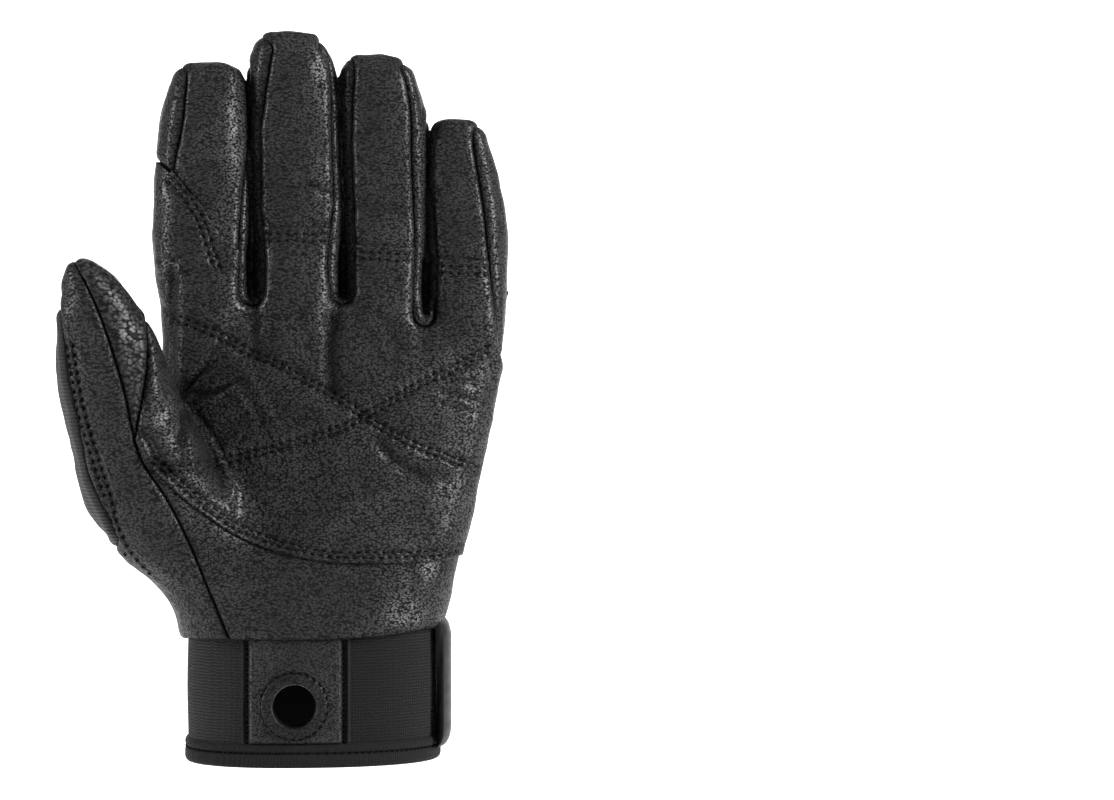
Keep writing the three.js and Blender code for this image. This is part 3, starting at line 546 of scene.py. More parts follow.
def back_zone(points):
    share = np.clip((points[:, 2] - CURL_LOW) / CURL_REACH, 0, 1.1)
    behind = BACK_SPLIT - FINGER_CURL * share**2 - points[:, 1]
    below = points[:, 2] - (finger_tops(points) - FINGERTIP_CAP)
    return np.maximum(behind, below)


def thumb_fabric_zone(points):
    seen = front_view(points)
    edge = rounded(FABRIC_EDGE)
    outer = outline_field(seen, np.concatenate([edge, [(-120, 150), (-120, 66)]]))
    middle = LIMBS["thumb"]
    behind = middle["y"](points[:, 2]) + 2 - points[:, 1]
    aside = points[:, 0] - middle["x"](points[:, 2]) - 0.62 * np.sqrt(middle["half_width"](points[:, 2]))
    past_ends = np.maximum(CLOTH_LOW - points[:, 2], seen[:, 1] - CLOTH_HIGH)
    inner = np.maximum(behind, np.maximum(aside, past_ends))
    return np.minimum(outer, inner)


def outline_zone(outline):
    return lambda points: outline_field(front_view(points), outline)


def index_outer_zone(points):
    outline = [*rounded(INDEX_OUTER_SEAM), (-60, 231), (-60, 204.2), (-50.7, 197.9)]
    return np.maximum(outline_field(front_view(points), outline), -17 - points[:, 1])


def overlay_zone(points):
    seen = front_view(points)
    outline = [*rounded(OVERLAY_LOW_EDGE, 3), *OVERLAY_TOP_EDGE, *rounded(INDEX_DIAGONAL, 3)]
    outline += THUMB_SIDE_EDGE
    layer = np.maximum(outline_field(seen, outline), points[:, 1] + 1.5)
    for gap in GAP_OUTLINES:
        layer = np.maximum(layer, -outline_field(seen, gap))
    return layer


# ---- Making meshes ----


def linked(name, data):
    made = bpy.data.objects.new(name, data)
    bpy.context.scene.collection.objects.link(made)
    return made


def piece_from(name, points, faces, material, smooth=True):
    """A Blender object from points in millimetres."""
    mesh = bpy.data.meshes.new(name)
    faces = np.asarray(faces)
    mesh.vertices.add(len(points))
    mesh.vertices.foreach_set("co", (np.asarray(points, float) * MM).ravel())
    mesh.loops.add(faces.size)
    mesh.loops.foreach_set("vertex_index", faces.ravel())
    mesh.polygons.add(len(faces))
    mesh.polygons.foreach_set("loop_start", np.arange(0, faces.size, faces.shape[1]))
    mesh.update(calc_edges=True)
    mesh.validate()
    mesh.polygons.foreach_set("use_smooth", np.full(len(mesh.polygons), smooth))
    mesh.materials.append(material)
    return linked(name, mesh)


def sheet_wall(piece, thickness):
    """Gives a surface its thickness, inwards, with a near-black inside: the glove's own black inside,
    darkened further as painted shade.
    """
    wall = piece.modifiers.new("wall", "SOLIDIFY")
    wall.thickness = thickness * MM
    wall.offset = -1
    piece.data.materials.append(INSIDE_PAINTED_SHADE)
    wall.material_offset = 1
    return piece


def wear(piece, slot, *nodes):
    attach(piece, "root")
    if nodes:
        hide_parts(*nodes)
    return piece


# ---- Materials ----


class Wire:
    """A value in a node tree. Arithmetic on wires makes the nodes for it."""

    def __init__(self, tree, socket=None):
        self.tree = tree
        self.socket = socket

    def node(self, kind, settings=None, values=None, output=0):
        """Adds a node and returns one of its outputs."""
        made = self.tree.nodes.new(kind)
        for key, value in (settings or {}).items():
            setattr(made, key, value)
        for key, value in (values or {}).items():
            if isinstance(value, Wire):
                self.tree.links.new(value.socket, made.inputs[key])
            else:
                made.inputs[key].default_value = value
        return Wire(self.tree, made.outputs[output] if made.outputs else None)

    def sum_of(self, operation, *values):
        return self.node("ShaderNodeMath", {"operation": operation}, dict(enumerate(values)))

    def __add__(self, other):
        return self.sum_of("ADD", self, other)

    def __sub__(self, other):
        return self.sum_of("SUBTRACT", self, other)

    def __rsub__(self, other):
        return self.sum_of("SUBTRACT", other, self)

    def __mul__(self, other):
        return self.sum_of("MULTIPLY", self, other)

    def __truediv__(self, other):
        return self.sum_of("DIVIDE", self, other)

    def __pow__(self, other):
        return self.sum_of("POWER", self, other)

    __radd__ = __add__
    __rmul__ = __mul__

    def wave(self, period):
        """From 0 to 1 and back over each period."""
        return 0.5 + 0.5 * self.sum_of("SINE", self * (2 * math.pi / period))

    def between(self, low, high, from_low=0.0, from_high=1.0):
        values = {"Value": self, "From Min": from_low, "From Max": from_high, "To Min": low, "To Max": high}
        return self.node("ShaderNodeMapRange", {"interpolation_type": "SMOOTHSTEP"}, values)

    def colours(self, low, high):
        values = {0: self, 6: (*low, 1), 7: (*high, 1)}
        return self.node("ShaderNodeMix", {"data_type": "RGBA"}, values, output=2)

    def moved(self, by):
        return self.node("ShaderNodeVectorMath", {"operation": "ADD"}, {0: self, 1: by})

    def scaled(self, by):
        return self.node("ShaderNodeVectorMath", {"operation": "MULTIPLY"}, {0: self, 1: by})

    def noise(self, size, detail=2.0, output=0):
        values = {"Vector": self, "Scale": 1 / size, "Detail": detail}
        return self.node("ShaderNodeTexNoise", {}, values, output)

    def cells(self, size, randomness=1.0):
        values = {"Vector": self, "Scale": 1 / size, "Randomness": randomness}
        return self.node("ShaderNodeTexVoronoi", {"feature": "F1"}, values)

    def part(self, axis):
        return self.node("ShaderNodeSeparateXYZ", {}, {0: self}, output=axis)


def new_material(name):
    material = bpy.data.materials.new(name)
    material.use_nodes = True
    tree = material.node_tree
    tree.nodes.clear()
    start = Wire(tree)
    return material, start, start.node("ShaderNodeTexCoord", output="Object")


COAT_ROUGHNESS = 0.33


def finish_material(start, colour, roughness, height, depth, specular=0.5, sheen=0.0, coat=0.0):
    normal = start.node("ShaderNodeBump", {}, {"Strength": 1.0, "Distance": depth, "Height": height})
    values = {"Base Color": colour, "Roughness": roughness, "Normal": normal, "Specular IOR Level": specular}
    values |= {"Sheen Weight": sheen, "Coat Weight": coat, "Coat Roughness": COAT_ROUGHNESS}
    shader = start.node("ShaderNodeBsdfPrincipled", {}, values)
    start.node("ShaderNodeOutputMaterial", {}, {"Surface": shader})


def leather(name, grain=0.85, crinkle=0.3, dark=0.0016, pale=0.025, relief=0.6):
    """Black pebbled leather: the tops of the grain shine, and creases and seams are dull. Its colour is
    painted paler on the tops of the grain and its fine folds, as a painted highlight, and darker in their
    valleys and in creases, stitch rows and seams, as painted shade.
    """
    material, start, where = new_material(name)
    bent = where.scaled((0.85, 1, 1.3)).moved(where.noise(2.2 * MM, 2, "Color").scaled((MM, MM, MM)))
    pebble, small = bent.cells(grain * MM, 0.9), bent.cells(grain * MM / 2.3)
    folds = where.scaled((1.0, 1.0, 2.4)).noise(2.6 * MM, 4)
    worn = where.noise(15 * MM, 3).between(0, 1, 0.35, 0.7)
    # Painted shade: the point attribute read here darkens the colour in creases, stitch rows and beside
    # seams, and dulls the coat there
    outside_painted_shade = 1 - start.node("ShaderNodeAttribute", {"attribute_name": "painted_shade"}, output=2)
    top = pebble.between(1, 0, 0.25, 0.72)
    height = (1 - pebble ** 2.0) * 0.8 + (1 - small) * 0.2 + folds * crinkle
    # Painted light: the tops of the pebbles and fine folds are painted paler, as a painted highlight, and
    # their valleys darker, as painted shade; worn adds random patches of tone
    painted_light_and_tone = top * (0.35 + worn * 0.35 + folds * 0.6) * outside_painted_shade
    tone = painted_light_and_tone.colours((dark, dark, dark * 1.03), (pale, pale, pale * 1.02))
    coat = top * outside_painted_shade * (0.3 + worn * 0.3)
    finish_material(start, tone, 0.42 + pebble * 0.12 + worn * 0.06, height, relief * MM, 0.14, coat=coat)
    return material


def ribbed_cloth(name):
    """Stretch cloth with fine ribs across it."""
    material, start, where = new_material(name)
    sway = where.noise(9 * MM, 2) * (0.7 * MM)
    ribs = (where.part(2) + sway).wave(1.15 * MM)
    threads = (where.part(0) + where.part(1) * 0.6).wave(0.55 * MM)
    fuzz = where.noise(0.35 * MM, 3)
    height = ribs * 0.7 + threads * 0.2 + fuzz * 0.25
    colour = (ribs * 0.6 + fuzz * 0.4).colours((0.00585, 0.00585, 0.00585), (0.0195, 0.0195, 0.02054))
    finish_material(start, colour, 0.72 + fuzz * 0.2, height, 0.35 * MM, 0.25, 0.15)
    return material


def rib_knit(name):
    """Knitted cuff: fine level ribs of looped yarn."""
    material, start, where = new_material(name)
    across = where.part(0) + where.part(1) * 0.8 + where.noise(1.6 * MM, 2) * (1.1 * MM)
    loops = across.wave(1.05 * MM)
    rows = (where.part(2) + loops * (0.22 * MM) + where.noise(3 * MM, 3) * (1.1 * MM)).wave(1.0 * MM)
    fuzz = where.noise(0.3 * MM, 3)
    height = rows * 0.75 + loops * 0.2 + fuzz * 0.3
    # Painted light: the cuff is painted paler on the thumb side and darker towards the little finger, as
    # side light falls on it
    shade = where.part(0).between(1.5, 0.5, -42 * MM, 22 * MM)
    colour = ((rows * 0.55 + fuzz * 0.45) * shade).colours((0.0022, 0.0022, 0.0024), (0.024, 0.024, 0.0262))
    finish_material(start, colour, 0.75 + fuzz * 0.2, height, 0.45 * MM, 0.1, 0.05)
    return material


def woven_tape(name):
    material, start, where = new_material(name)
    ribs = (where.part(0) + where.part(1)).wave(0.9 * MM)
    cross = where.part(2).wave(0.7 * MM)
    fuzz = where.noise(0.4 * MM, 3)
    height = ribs * 0.5 + cross * 0.4 + fuzz * 0.3
    colour = (ribs * 0.4 + cross * 0.2 + fuzz * 0.4).colours((0.002, 0.002, 0.0022), (0.011, 0.011, 0.012))
    finish_material(start, colour, 0.68 + fuzz * 0.15, height, 0.2 * MM, 0.12, 0.03)
    return material


def moulded_strap(name):
    material, start, where = new_material(name)
    fine = where.noise(0.5 * MM, 3)
    scuff = where.scaled((1, 1, 3)).noise(9 * MM, 4).between(0, 1, 0.4, 0.75)
    colour = scuff.colours((0.002, 0.002, 0.0021), (0.0045, 0.0045, 0.0048))
    finish_material(start, colour, 0.38 + scuff * 0.12, fine * 0.5 + scuff * 0.3, 0.05 * MM, 0.12)
    return material


def sewing_thread(name):
    material, start, where = new_material(name)
    twist = (where.part(0) + where.part(2)).wave(0.32 * MM)
    dust = where.noise(6 * MM, 2)
    colour = (twist * 0.6 + dust * 0.4).colours((0.0005, 0.0005, 0.0005), (0.0025, 0.0025, 0.0026))
    finish_material(start, colour, 0.75 + dust * 0.2, twist, 0.08 * MM, 0.06)
    return material


def inside_with_painted_shade(name):
    # Near black: the glove's own black inside, darkened further as painted shade
    material, start, where = new_material(name)
    fuzz = where.noise(0.6 * MM, 3)
    colour = fuzz.colours((0.0015, 0.0015, 0.0015), (0.004, 0.004, 0.004))
    finish_material(start, colour, 0.85 + fuzz * 0.1, fuzz, 0.1 * MM, 0.05)
    return material


PALM_HIDE = leather("palm leather")
THUMB_HIDE = leather("thumb leather", 0.9)
PAD_HIDE = leather("thumb pad leather", 1.35)
LAYER_HIDE = leather("reinforcement leather", 0.9)
SOFT_HIDE = leather("gusset leather", 0.85)
RING_HIDE = leather("ring leather", 0.7, 0.1, 0.002, 0.012, 0.2)
PATCH_HIDE = leather("wrist patch leather", 0.62, 0.2, 0.003, 0.026, 0.35)
STRETCH = ribbed_cloth("stretch cloth")
KNIT = rib_knit("cuff knit")
TAPE = woven_tape("edge tape")
STRAP = moulded_strap("moulded strap")
THREAD = sewing_thread("sewing thread")
INSIDE_PAINTED_SHADE = inside_with_painted_shade("inside with painted shade")


# ---- Panels of the hand ----

# Creases in the front view: path, width, depth; a ridge has a depth below zero
CREASES = [
    ([(-43.2, 120.9), (-37, 128.6), (-29.9, 134)], 1.1, 1.2),
    ([(-41, 122.5), (-35, 132), (-30.5, 139)], 0.9, 0.6),
    ([(-40, 121.4), (-29, 124.6), (-22, 128.2)], 1.1, 1.1),
    ([(-22, 128.2), (-18.5, 123), (-14.5, 116), (-11.7, 108)], 2.2, -0.7),
    ([(-42.5, 119.5), (-36.4, 111), (-31.9, 101.7), (-29.4, 90)], 1.5, 1.3),
    ([(-39, 118.2), (-33, 110), (-27.5, 99), (-25.5, 92)], 1.1, 0.8),
    ([(-29.5, 104), (-27, 96), (-27.5, 86)], 2.0, -0.8),
    ([(-42.4, 116), (-41.6, 111), (-42.6, 107)], 1.2, 3.0),
    ([(-38.5, 119), (-30, 122.2), (-24, 126.4)], 1.0, -0.8),
    ([(-26, 124), (-21, 117), (-18.5, 110)], 1.6, -0.6),
    ([(-34, 108), (-30.5, 101), (-28.6, 94)], 0.9, -0.7),
    ([(-43.5, 110), (-41.5, 103), (-42.5, 97.5)], 1.0, 0.9),
    ([(-56, 112), (-52, 104), (-47.5, 95.5)], 1.0, 0.9),
    ([(-53.5, 110.5), (-49.5, 103), (-45.4, 95.8)], 0.9, 0.7),
    ([(-44.6, 165), (-45, 140), (-44.4, 121)], 1.6, 1.2),
    ([(-49.4, 153.4), (-46.6, 149), (-44.2, 146)], 0.8, 0.6),
    ([(5.6, 152), (5.0, 138), (6.2, 120)], 2.6, 1.5),
    ([(-18.8, 149), (-18.9, 131)], 2.2, 1.1),
    ([(-12.5, 151), (-10, 140), (-9, 130)], 2.4, -0.5),
    ([(36, 143), (35.4, 131)], 2.2, 0.9),
    ([(22, 150), (26, 140), (31, 133)], 2.6, 0.6),
    ([(-2.2, 151.5), (-5.4, 146.8)], 0.9, 0.6),
    ([(-37, 150.5), (-28, 152.5)], 0.7, 0.5),
    ([(-44, 161), (-34, 162.6), (-27, 164)], 0.7, 0.5),
    ([(30, 131), (54, 141)], 3.2, -1.0),
    ([(39, 123.5), (46, 122), (54, 119.5)], 0.8, 0.6),
    ([(40, 119.5), (52, 116.5)], 0.8, 0.5),
    ([(42, 127), (55, 126)], 0.8, 0.5),
    ([(18.3, 109), (30, 98), (46, 94.7)], 2.0, 1.2),
    ([(15, 90), (26, 92), (38, 90)], 2.6, -0.8),
    ([(-2, 78), (8, 83), (18, 90)], 4.0, -1.0),
    ([(-32, 112), (-20, 116), (-8, 116)], 5.0, 0.7),
    ([(-42, 195), (-36, 196), (-31, 195.4)], 0.9, 0.5),
    ([(-51, 166.4), (-41, 165.6)], 0.8, 0.6),
    ([(-50, 159.4), (-41, 158.2)], 0.8, 0.5),
    ([(5.5, 187.5), (1, 189.5), (-4, 191)], 1.2, 0.9),
    ([(-15, 190), (-4, 189.4)], 2.2, 0.5),
    ([(-14, 182.4), (4, 182.4)], 3.6, -1.0),
    ([(14.5, 182.8), (31, 182)], 1.5, 0.7),
    ([(15, 177.2), (31, 176.2)], 2.8, -0.9),
    ([(41, 171.4), (55, 170.6)], 3.0, -1.0),
    ([(-20, 155.5), (-20.4, 170)], 0.9, 3.0),
    ([(9.5, 155), (9.4, 170)], 0.9, 3.0),
    ([(36.4, 148), (36.6, 166)], 0.9, 3.0),
]
# Rows of stitches in the front view: path, rows either side of it, distance between stitches
SEAM_A = [
    (-44.1, 147), (-37, 144.2), (-29.1, 140.7), (-23.5, 137.5), (-17.2, 134.4), (-11.7, 132), (-3.8, 127.3),
    (4.1, 123.3), (10.4, 119.4), (18.3, 113.8), (26.2, 109.1), (34.1, 105.2), (41.9, 102.4), (49.8, 99.2),
    (54, 97.5),
]
SEAM_B = [
    (-52.7, 98.9), (-44.9, 98.5), (-37, 99.2), (-29.1, 100.8), (-21.2, 102.8), (-13.3, 104.8),
    (-5.4, 107.1), (2.5, 109.1), (10.4, 112.3), (18.3, 116.6), (26.2, 120.9), (34.1, 125.7), (41.9, 129.2),
    (49.8, 133.6), (57, 137.8),
]
DIAGONAL_ROW = [(-47.1, 191.8), (-43.2, 187.6), (-39.2, 182), (-36.2, 175.6), (-34.2, 169), (-32.4, 163.4)]
FABRIC_ROW = [
    (-79.2, 139), (-77, 124.9), (-74.8, 114), (-71.8, 104), (-67.6, 91), (-63.9, 77.5), (-59.4, 69.2),
    (-54, 63.2),
]
STITCH_ROWS = [
    (OVERLAY_LOW_EDGE[1:-1], (1.9, 3.6), 2.75),
    (SEAM_A, (-0.95, 0.95), 2.75),
    (SEAM_B, (-0.95, 0.95), 2.75),
    (DIAGONAL_ROW, (0, 2.0), 2.9),
    ([(-15.2, 174.4), (3.4, 174.4)], (0, -2.3), 2.7),
    ([(14.8, 168.9), (31.6, 168.0)], (0, -2.3), 2.7),
    ([(40.8, 164.4), (56.4, 163.8)], (0, -2.3), 2.7),
    (FABRIC_ROW, (0, 1.9), 2.9),
]


# Hollows at stitches: depth and reach of each line, of each stitch and of the whole row
LINE_HOLLOW = 0.3, 0.6
STITCH_HOLLOW = 0.62, 0.85
ROW_HOLLOW = 0.18, 3.2
CREASE_END = 0.25  # share of a crease's depth that is left at its ends
# Painted shade beside a panel's seams: how dark it is at the seam, and how far it reaches
SEAM_PAINTED_SHADE = 0.85, 0.7


def hill(distance, height, reach):
    return height * np.exp(-((distance / reach) ** 2))


def beside(path, away):
    """A path at a distance to the left of another, as it runs."""
    path = rounded(path, 6)
    run = np.gradient(path, axis=0)
    run /= np.hypot(*run.T)[:, None]
    return path + away * np.stack([-run[:, 1], run[:, 0]], axis=1)


def evenly(path, pitch):
    """Places along a path at a fixed distance from each other."""
    path = np.asarray(path, float)
    run = run_along(path)
    at = np.arange(pitch * 0.5, run[-1], pitch)
    return np.stack([np.interp(at, run, column) for column in path.T], axis=1)


def in_reach(seen, path, reach):
    """Whether seen points lie in the box round a path, grown by a distance."""
    low, high = np.min(path, axis=0) - reach, np.max(path, axis=0) + reach
    return ((seen > low) & (seen < high)).all(axis=1)


def crease_relief(points, facing):
    """How far creases and stitches raise the leather, and how much painted shade their hollows get."""
    seen = front_view(points)
    rise = np.zeros(len(points))
    for path, width, depth in CREASES:
        path = rounded(path, 3)
        near = in_reach(seen, path, 3 * width) & (facing > 0)
        if not near.any():
            continue
        place = seen[near]
        ends = np.minimum(np.hypot(*(place - path[0]).T), np.hypot(*(place - path[-1]).T))
        fade = np.clip(ends / (2.2 * width), 0, 1)
        distance = path_distance(place, path)
        rise[near] -= hill(distance, depth, width) * (CREASE_END + (1 - CREASE_END) * fade)
    for path, rows, pitch in STITCH_ROWS:
        near = in_reach(seen, path, 6) & (facing > 0)
        if not near.any():
            continue
        lines = [beside(path, away) for away in rows]
        distance = np.min([path_distance(seen[near], line[::2]) for line in lines], axis=0)
        middle = path_distance(seen[near], beside(path, sum(rows) / 2)[::2])
        spots = np.concatenate([evenly(line, pitch) for line in lines])
        spot = np.sqrt(((seen[near][:, None] - spots) ** 2).sum(axis=2).min(axis=1))
        rise[near] -= hill(distance, *LINE_HOLLOW) + hill(spot, *STITCH_HOLLOW)
        rise[near] -= hill(middle, *ROW_HOLLOW)
    # The second value is painted shade, darker the deeper a crease or stitch row lies
    return rise * np.clip(facing * 1.6, 0, 1), np.where(facing > 0, -rise * PAINTED_SHADE_PER_DEPTH, 0)


SMALL_WAVE, LARGE_WAVE = 5.5, 17


def soft_waves(points, size, strength):
    """Small uneven folds in the leather."""
    return strength * np.array([noise.noise(place) for place in (points / size)])


def border_distance(points, triangles, sources=None):
    """Distance of each point from the panel's edge, or from the given points."""
    if sources is None:
        pairs, edge_of = edges_of(triangles, len(points))
        single = np.bincount(edge_of.ravel(), minlength=len(pairs)) == 1
        sources = points[np.unique(pairs[single])]
    tree = KDTree(len(sources))
    for number, place in enumerate(sources):
        tree.insert(place, number)
    tree.balance()
    return np.array([tree.find(place)[2] for place in points]), sources


def roll_in(distance, radius, depth):
    """How far a turned edge drops at a distance from the seam."""
    share = 1 - np.clip(distance / radius, 0, 1)
    return -depth * (1 - np.sqrt(1 - share**2 * 0.98))


TIP_REACH = 6
THUMB_SIDE, THUMB_TIP = -56, 154


def near_tip(points):
    """From 0 to 1 over the last stretch of each finger, where seams lie flatter."""
    above = np.clip((points[:, 2] - finger_tops(points) + 10) / TIP_REACH, 0, 1)
    on_thumb = points[:, 0] < THUMB_SIDE
    return np.where(on_thumb, np.clip((points[:, 2] - THUMB_TIP) / TIP_REACH, 0, 1), above)


def shaded(piece, values):
    """Gives each point of a piece painted shade, from 0 to 1, by how deep it lies in a fold or beside a
    seam.
    """
    kept = piece.data.attributes.new("painted_shade", "FLOAT", "POINT")
    kept.data.foreach_set("value", np.clip(values, 0, 1))
    return piece


def padded_panel(points, triangles, radius=1.5, depth=1.2, puff=0.35, wave=0.3):
    """A panel's points with rolled edges, a little padding beside the seams, and creases."""
    _, normal = outward(points)
    distance, _ = border_distance(points, triangles)
    rise = roll_in(distance, radius, depth) * (1 - 0.6 * near_tip(points))
    rise = rise + hill(distance - 1.7 * radius, puff, 1.1 * radius)
    rise += soft_waves(points, SMALL_WAVE, wave) + soft_waves(points, LARGE_WAVE, 1.6 * wave)
    relief, painted_shade = crease_relief(points, -normal[:, 1])
    # The second value is painted shade: darker in creases and stitch rows and beside the panel's seams
    return points + normal * (rise + relief)[:, None], painted_shade + hill(distance, *SEAM_PAINTED_SHADE)


FORM_LOW, FORM_HIGH = (-88, -62, 30), (68, 36, 244)
points, quads = wrapped_mesh(FORM_LOW, FORM_HIGH, CELL)
for _ in range(3):
    points = settle(relax(points, quads), 2)
triangles = split_quads(quads)

HAND_FOOT = [
    (-120, 44.2), (-60, 44.2), (-41.2, 43.6), (-26.6, 42.8), (1, 42.4), (24.1, 43.6), (37.9, 45.6),
    (60, 47), (120, 47),
]
foot_curve = smooth_curve(*zip(*HAND_FOOT))
ZONES = {
    "below": lambda points: front_view(points)[:, 1] - foot_curve(front_view(points)[:, 0]),
    "back": back_zone,
    "thumb_back": thumb_fabric_zone,
    "index_gap": outline_zone(GAP_OUTLINES[0]),
    "middle_gap": outline_zone(GAP_OUTLINES[1]),
    "ring_gap": outline_zone(GAP_OUTLINES[2]),
    "index_outer": index_outer_zone,
    "little_outer": outline_zone([*rounded(LITTLE_OUTER_SEAM), (80, 213), (80, 133.6)]),
    "thenar": outline_zone([*rounded(THENAR_SEAM), (-77.5, 190), (-130, 190), (-130, 0), (-22, 0)]),
    "pad": outline_zone([(-75, 108.6), *rounded(PAD_SEAM), (-58, 190), (-130, 190), (-130, 108.6)]),
}


def near_detail(points):
    close = np.zeros(len(points), bool)
    for zone in (*ZONES.values(), overlay_zone):
        close |= np.abs(zone(points)) < FINE_BAND
    seen = front_view(points)
    for path, width, _ in CREASES:
        if width < FINE_CREASE:
            close |= path_distance(seen, path) < 2 * width
    for path, rows, _ in STITCH_ROWS:
        close |= path_distance(seen, beside(path, sum(rows) / 2)[::3]) < 2.2
    return close & (points[:, 1] < BACK_SPLIT + 3)


points, triangles = refine(points, triangles, near_detail, FINE_EDGE)
points = settle(points, 1)

panels = {}
rest = points, triangles
for name, zone in ZONES.items():
    panels[name], rest = cut(*rest, zone)
panels["front"] = rest


def joined(*parts):
    counts = np.cumsum([0] + [len(part[0]) for part in parts])
    faces = [part[1] + n for part, n in zip(parts, counts)]
    return np.concatenate([part[0] for part in parts]), np.concatenate(faces)


surfaces = {}


def panel(name, parts, material, slot, nodes, **shape):
    """One wearable piece from one or more cut panels."""
    made, painted_shades = [], []
    for part in parts:
        moved, painted_shade = padded_panel(*part, **shape)
        made.append((moved, part[1]))
        painted_shades.append(painted_shade)
    points, triangles = joined(*made)
    surfaces[name] = points, triangles
    piece = shaded(piece_from(name, points, triangles, material), np.concatenate(painted_shades))
    return wear(sheet_wall(piece, LEATHER_WALL), slot, *nodes)


FRONTS = ["palm_leather", "index_front", "middle_front", "ring_front", "little_front"]
panel("palm_leather_shell", [panels["front"]], PALM_HIDE, "leather", FRONTS)
panel("thenar_panel_soft", [panels["thenar"]], THUMB_HIDE, "leather", ["thenar_panel"])
panel("thumb_pad_soft", [panels["pad"]], PAD_HIDE, "leather", ["thumb_pad"])
GUSSETS = ["index_outer_gusset", "index_middle_gusset", "middle_ring_gusset"]
GUSSETS += ["ring_little_gusset", "little_outer_gusset"]
strips = [panels[name] for name in ("index_gap", "middle_gap", "ring_gap", "index_outer", "little_outer")]
panel("side_gussets", strips, SOFT_HIDE, "leather", GUSSETS, radius=1.9, depth=1.4, puff=0.4, wave=0.15)
BACKS = ["back_panel", "index_back", "middle_back", "ring_back", "little_back"]
panel("back_cloth", [panels["back"]], STRETCH, "stretch_fabric", BACKS, depth=0.8, puff=0.2)
panel("thumb_cloth", [panels["thumb_back"]], STRETCH, "stretch_fabric", ["thumb_back"], depth=0.8, puff=0.5)

# The second layer of leather over the palm, raised, with a plain cut edge where it ends
layer, _ = cut(*panels["front"], overlay_zone)
_, leather_edge = border_distance(*panels["front"])
leather_edge = leather_edge[path_distance(front_view(leather_edge), INDEX_DIAGONAL) > 2.6]
_, layer_normal = outward(layer[0])
to_seam, _ = border_distance(*layer, leather_edge)
to_edge, _ = border_distance(*layer)
rise = OVERLAY_LIFT + roll_in(to_seam, 2.0, 2.2) + hill(to_seam - 3.4, 0.35, 2.2)
rise += roll_in(to_edge, 0.5, 0.35)
rise += soft_waves(layer[0], SMALL_WAVE, 0.35) + soft_waves(layer[0], LARGE_WAVE, 0.6)
# It lies flatter at the index finger's outer side and beside the thumb pad
for place, reach, least in ((INDEX_DIAGONAL[-2], 12, 0.25), (PAD_SEAM[-3], 16, 0.2)):
    away = np.hypot(*(front_view(layer[0]) - place).T)
    rise *= least + (1 - least) * np.clip(away / reach, 0, 1)
# Painted shade in the layer's creases and stitch rows
relief, painted_shade = crease_relief(layer[0], -layer_normal[:, 1])
surfaces["palm_layer"] = layer[0] + layer_normal * (rise + relief)[:, None], layer[1]
palm_layer = shaded(piece_from("palm_layer", *surfaces["palm_layer"], LAYER_HIDE), painted_shade)
wear(sheet_wall(palm_layer, LAYER_WALL), "leather", "palm_overlay")


# ---- Cuff ----

CUFF_HALF_WIDTH, CUFF_HALF_DEPTH, CUFF_POWER = 41.0, 27.0, 2.3
CUFF_TOP = 46.5
HOLE_X, HOLE_Z, HOLE_RADIUS = -6.4, 19.0, 7.2
RING_RADIUS, RING_HALF_WIDTH = 8.75, 1.75


def cuff_ring(turn, grow=0.0):
    """The x and y of points round the cuff."""
    c, s = np.cos(turn), np.sin(turn)
    x = (CUFF_HALF_WIDTH + grow) * np.sign(c) * np.abs(c) ** (2 / CUFF_POWER)
    y = (CUFF_HALF_DEPTH + grow) * np.sign(s) * np.abs(s) ** (2 / CUFF_POWER)
    return x, y


def cuff_front(x):
    """The y of the cuff's front at an x."""
    share = np.clip(np.abs(x) / CUFF_HALF_WIDTH, 0, 1)
    return -CUFF_HALF_DEPTH * (1 - share**CUFF_POWER) ** (1 / CUFF_POWER)


def grid_quads(rows, columns, closed_rows=False, closed_columns=False):
    """Quads between the points of a grid, which may close on itself either way."""
    index = np.arange(rows * columns).reshape(rows, columns)
    if closed_rows:
        index = np.concatenate([index, index[:1]])
    if closed_columns:
        index = np.concatenate([index, index[:, :1]], axis=1)
    corners = index[:-1, :-1], index[:-1, 1:], index[1:, 1:], index[1:, :-1]
    return np.stack(corners, axis=-1).reshape(-1, 4)


def band(turns, profile, closed_round=True, closed_profile=True):
    """A mesh that follows the cuff with a profile of (out, up) points."""
    rings = []
    for out, up in profile:
        x, y = cuff_ring(turns, out)
        rings.append(np.stack([x, y, np.full_like(x, up)], axis=1))
    return np.concatenate(rings), grid_quads(len(profile), len(turns), closed_profile, closed_round)


def arc(centre, radius, start, end, count):
    turn = np.linspace(math.radians(start), math.radians(end), count)
    return [(centre[0] + radius[0] * math.cos(a), centre[1] + radius[1] * math.sin(a)) for a in turn]


round_turns = np.linspace(0, 2 * math.pi, 400, endpoint=False)
knit_heights = np.arange(4, CUFF_TOP, 0.9)
knit_profile = [(0.35 * math.sin((up - 4) / 40 * math.pi) ** 2 - 0.2, up) for up in knit_heights]
knit_points, knit_quads = band(round_turns, knit_profile, closed_profile=False)


def hole_zone(points):
    away = np.hypot(points[:, 0] - HOLE_X, points[:, 2] - HOLE_Z) - HOLE_RADIUS
    return np.maximum(away, points[:, 1])


_, knit = cut(knit_points, split_quads(knit_quads), hole_zone)
wear(sheet_wall(piece_from("cuff_knit", *knit, KNIT), KNIT_WALL), "knit", "cuff_band")

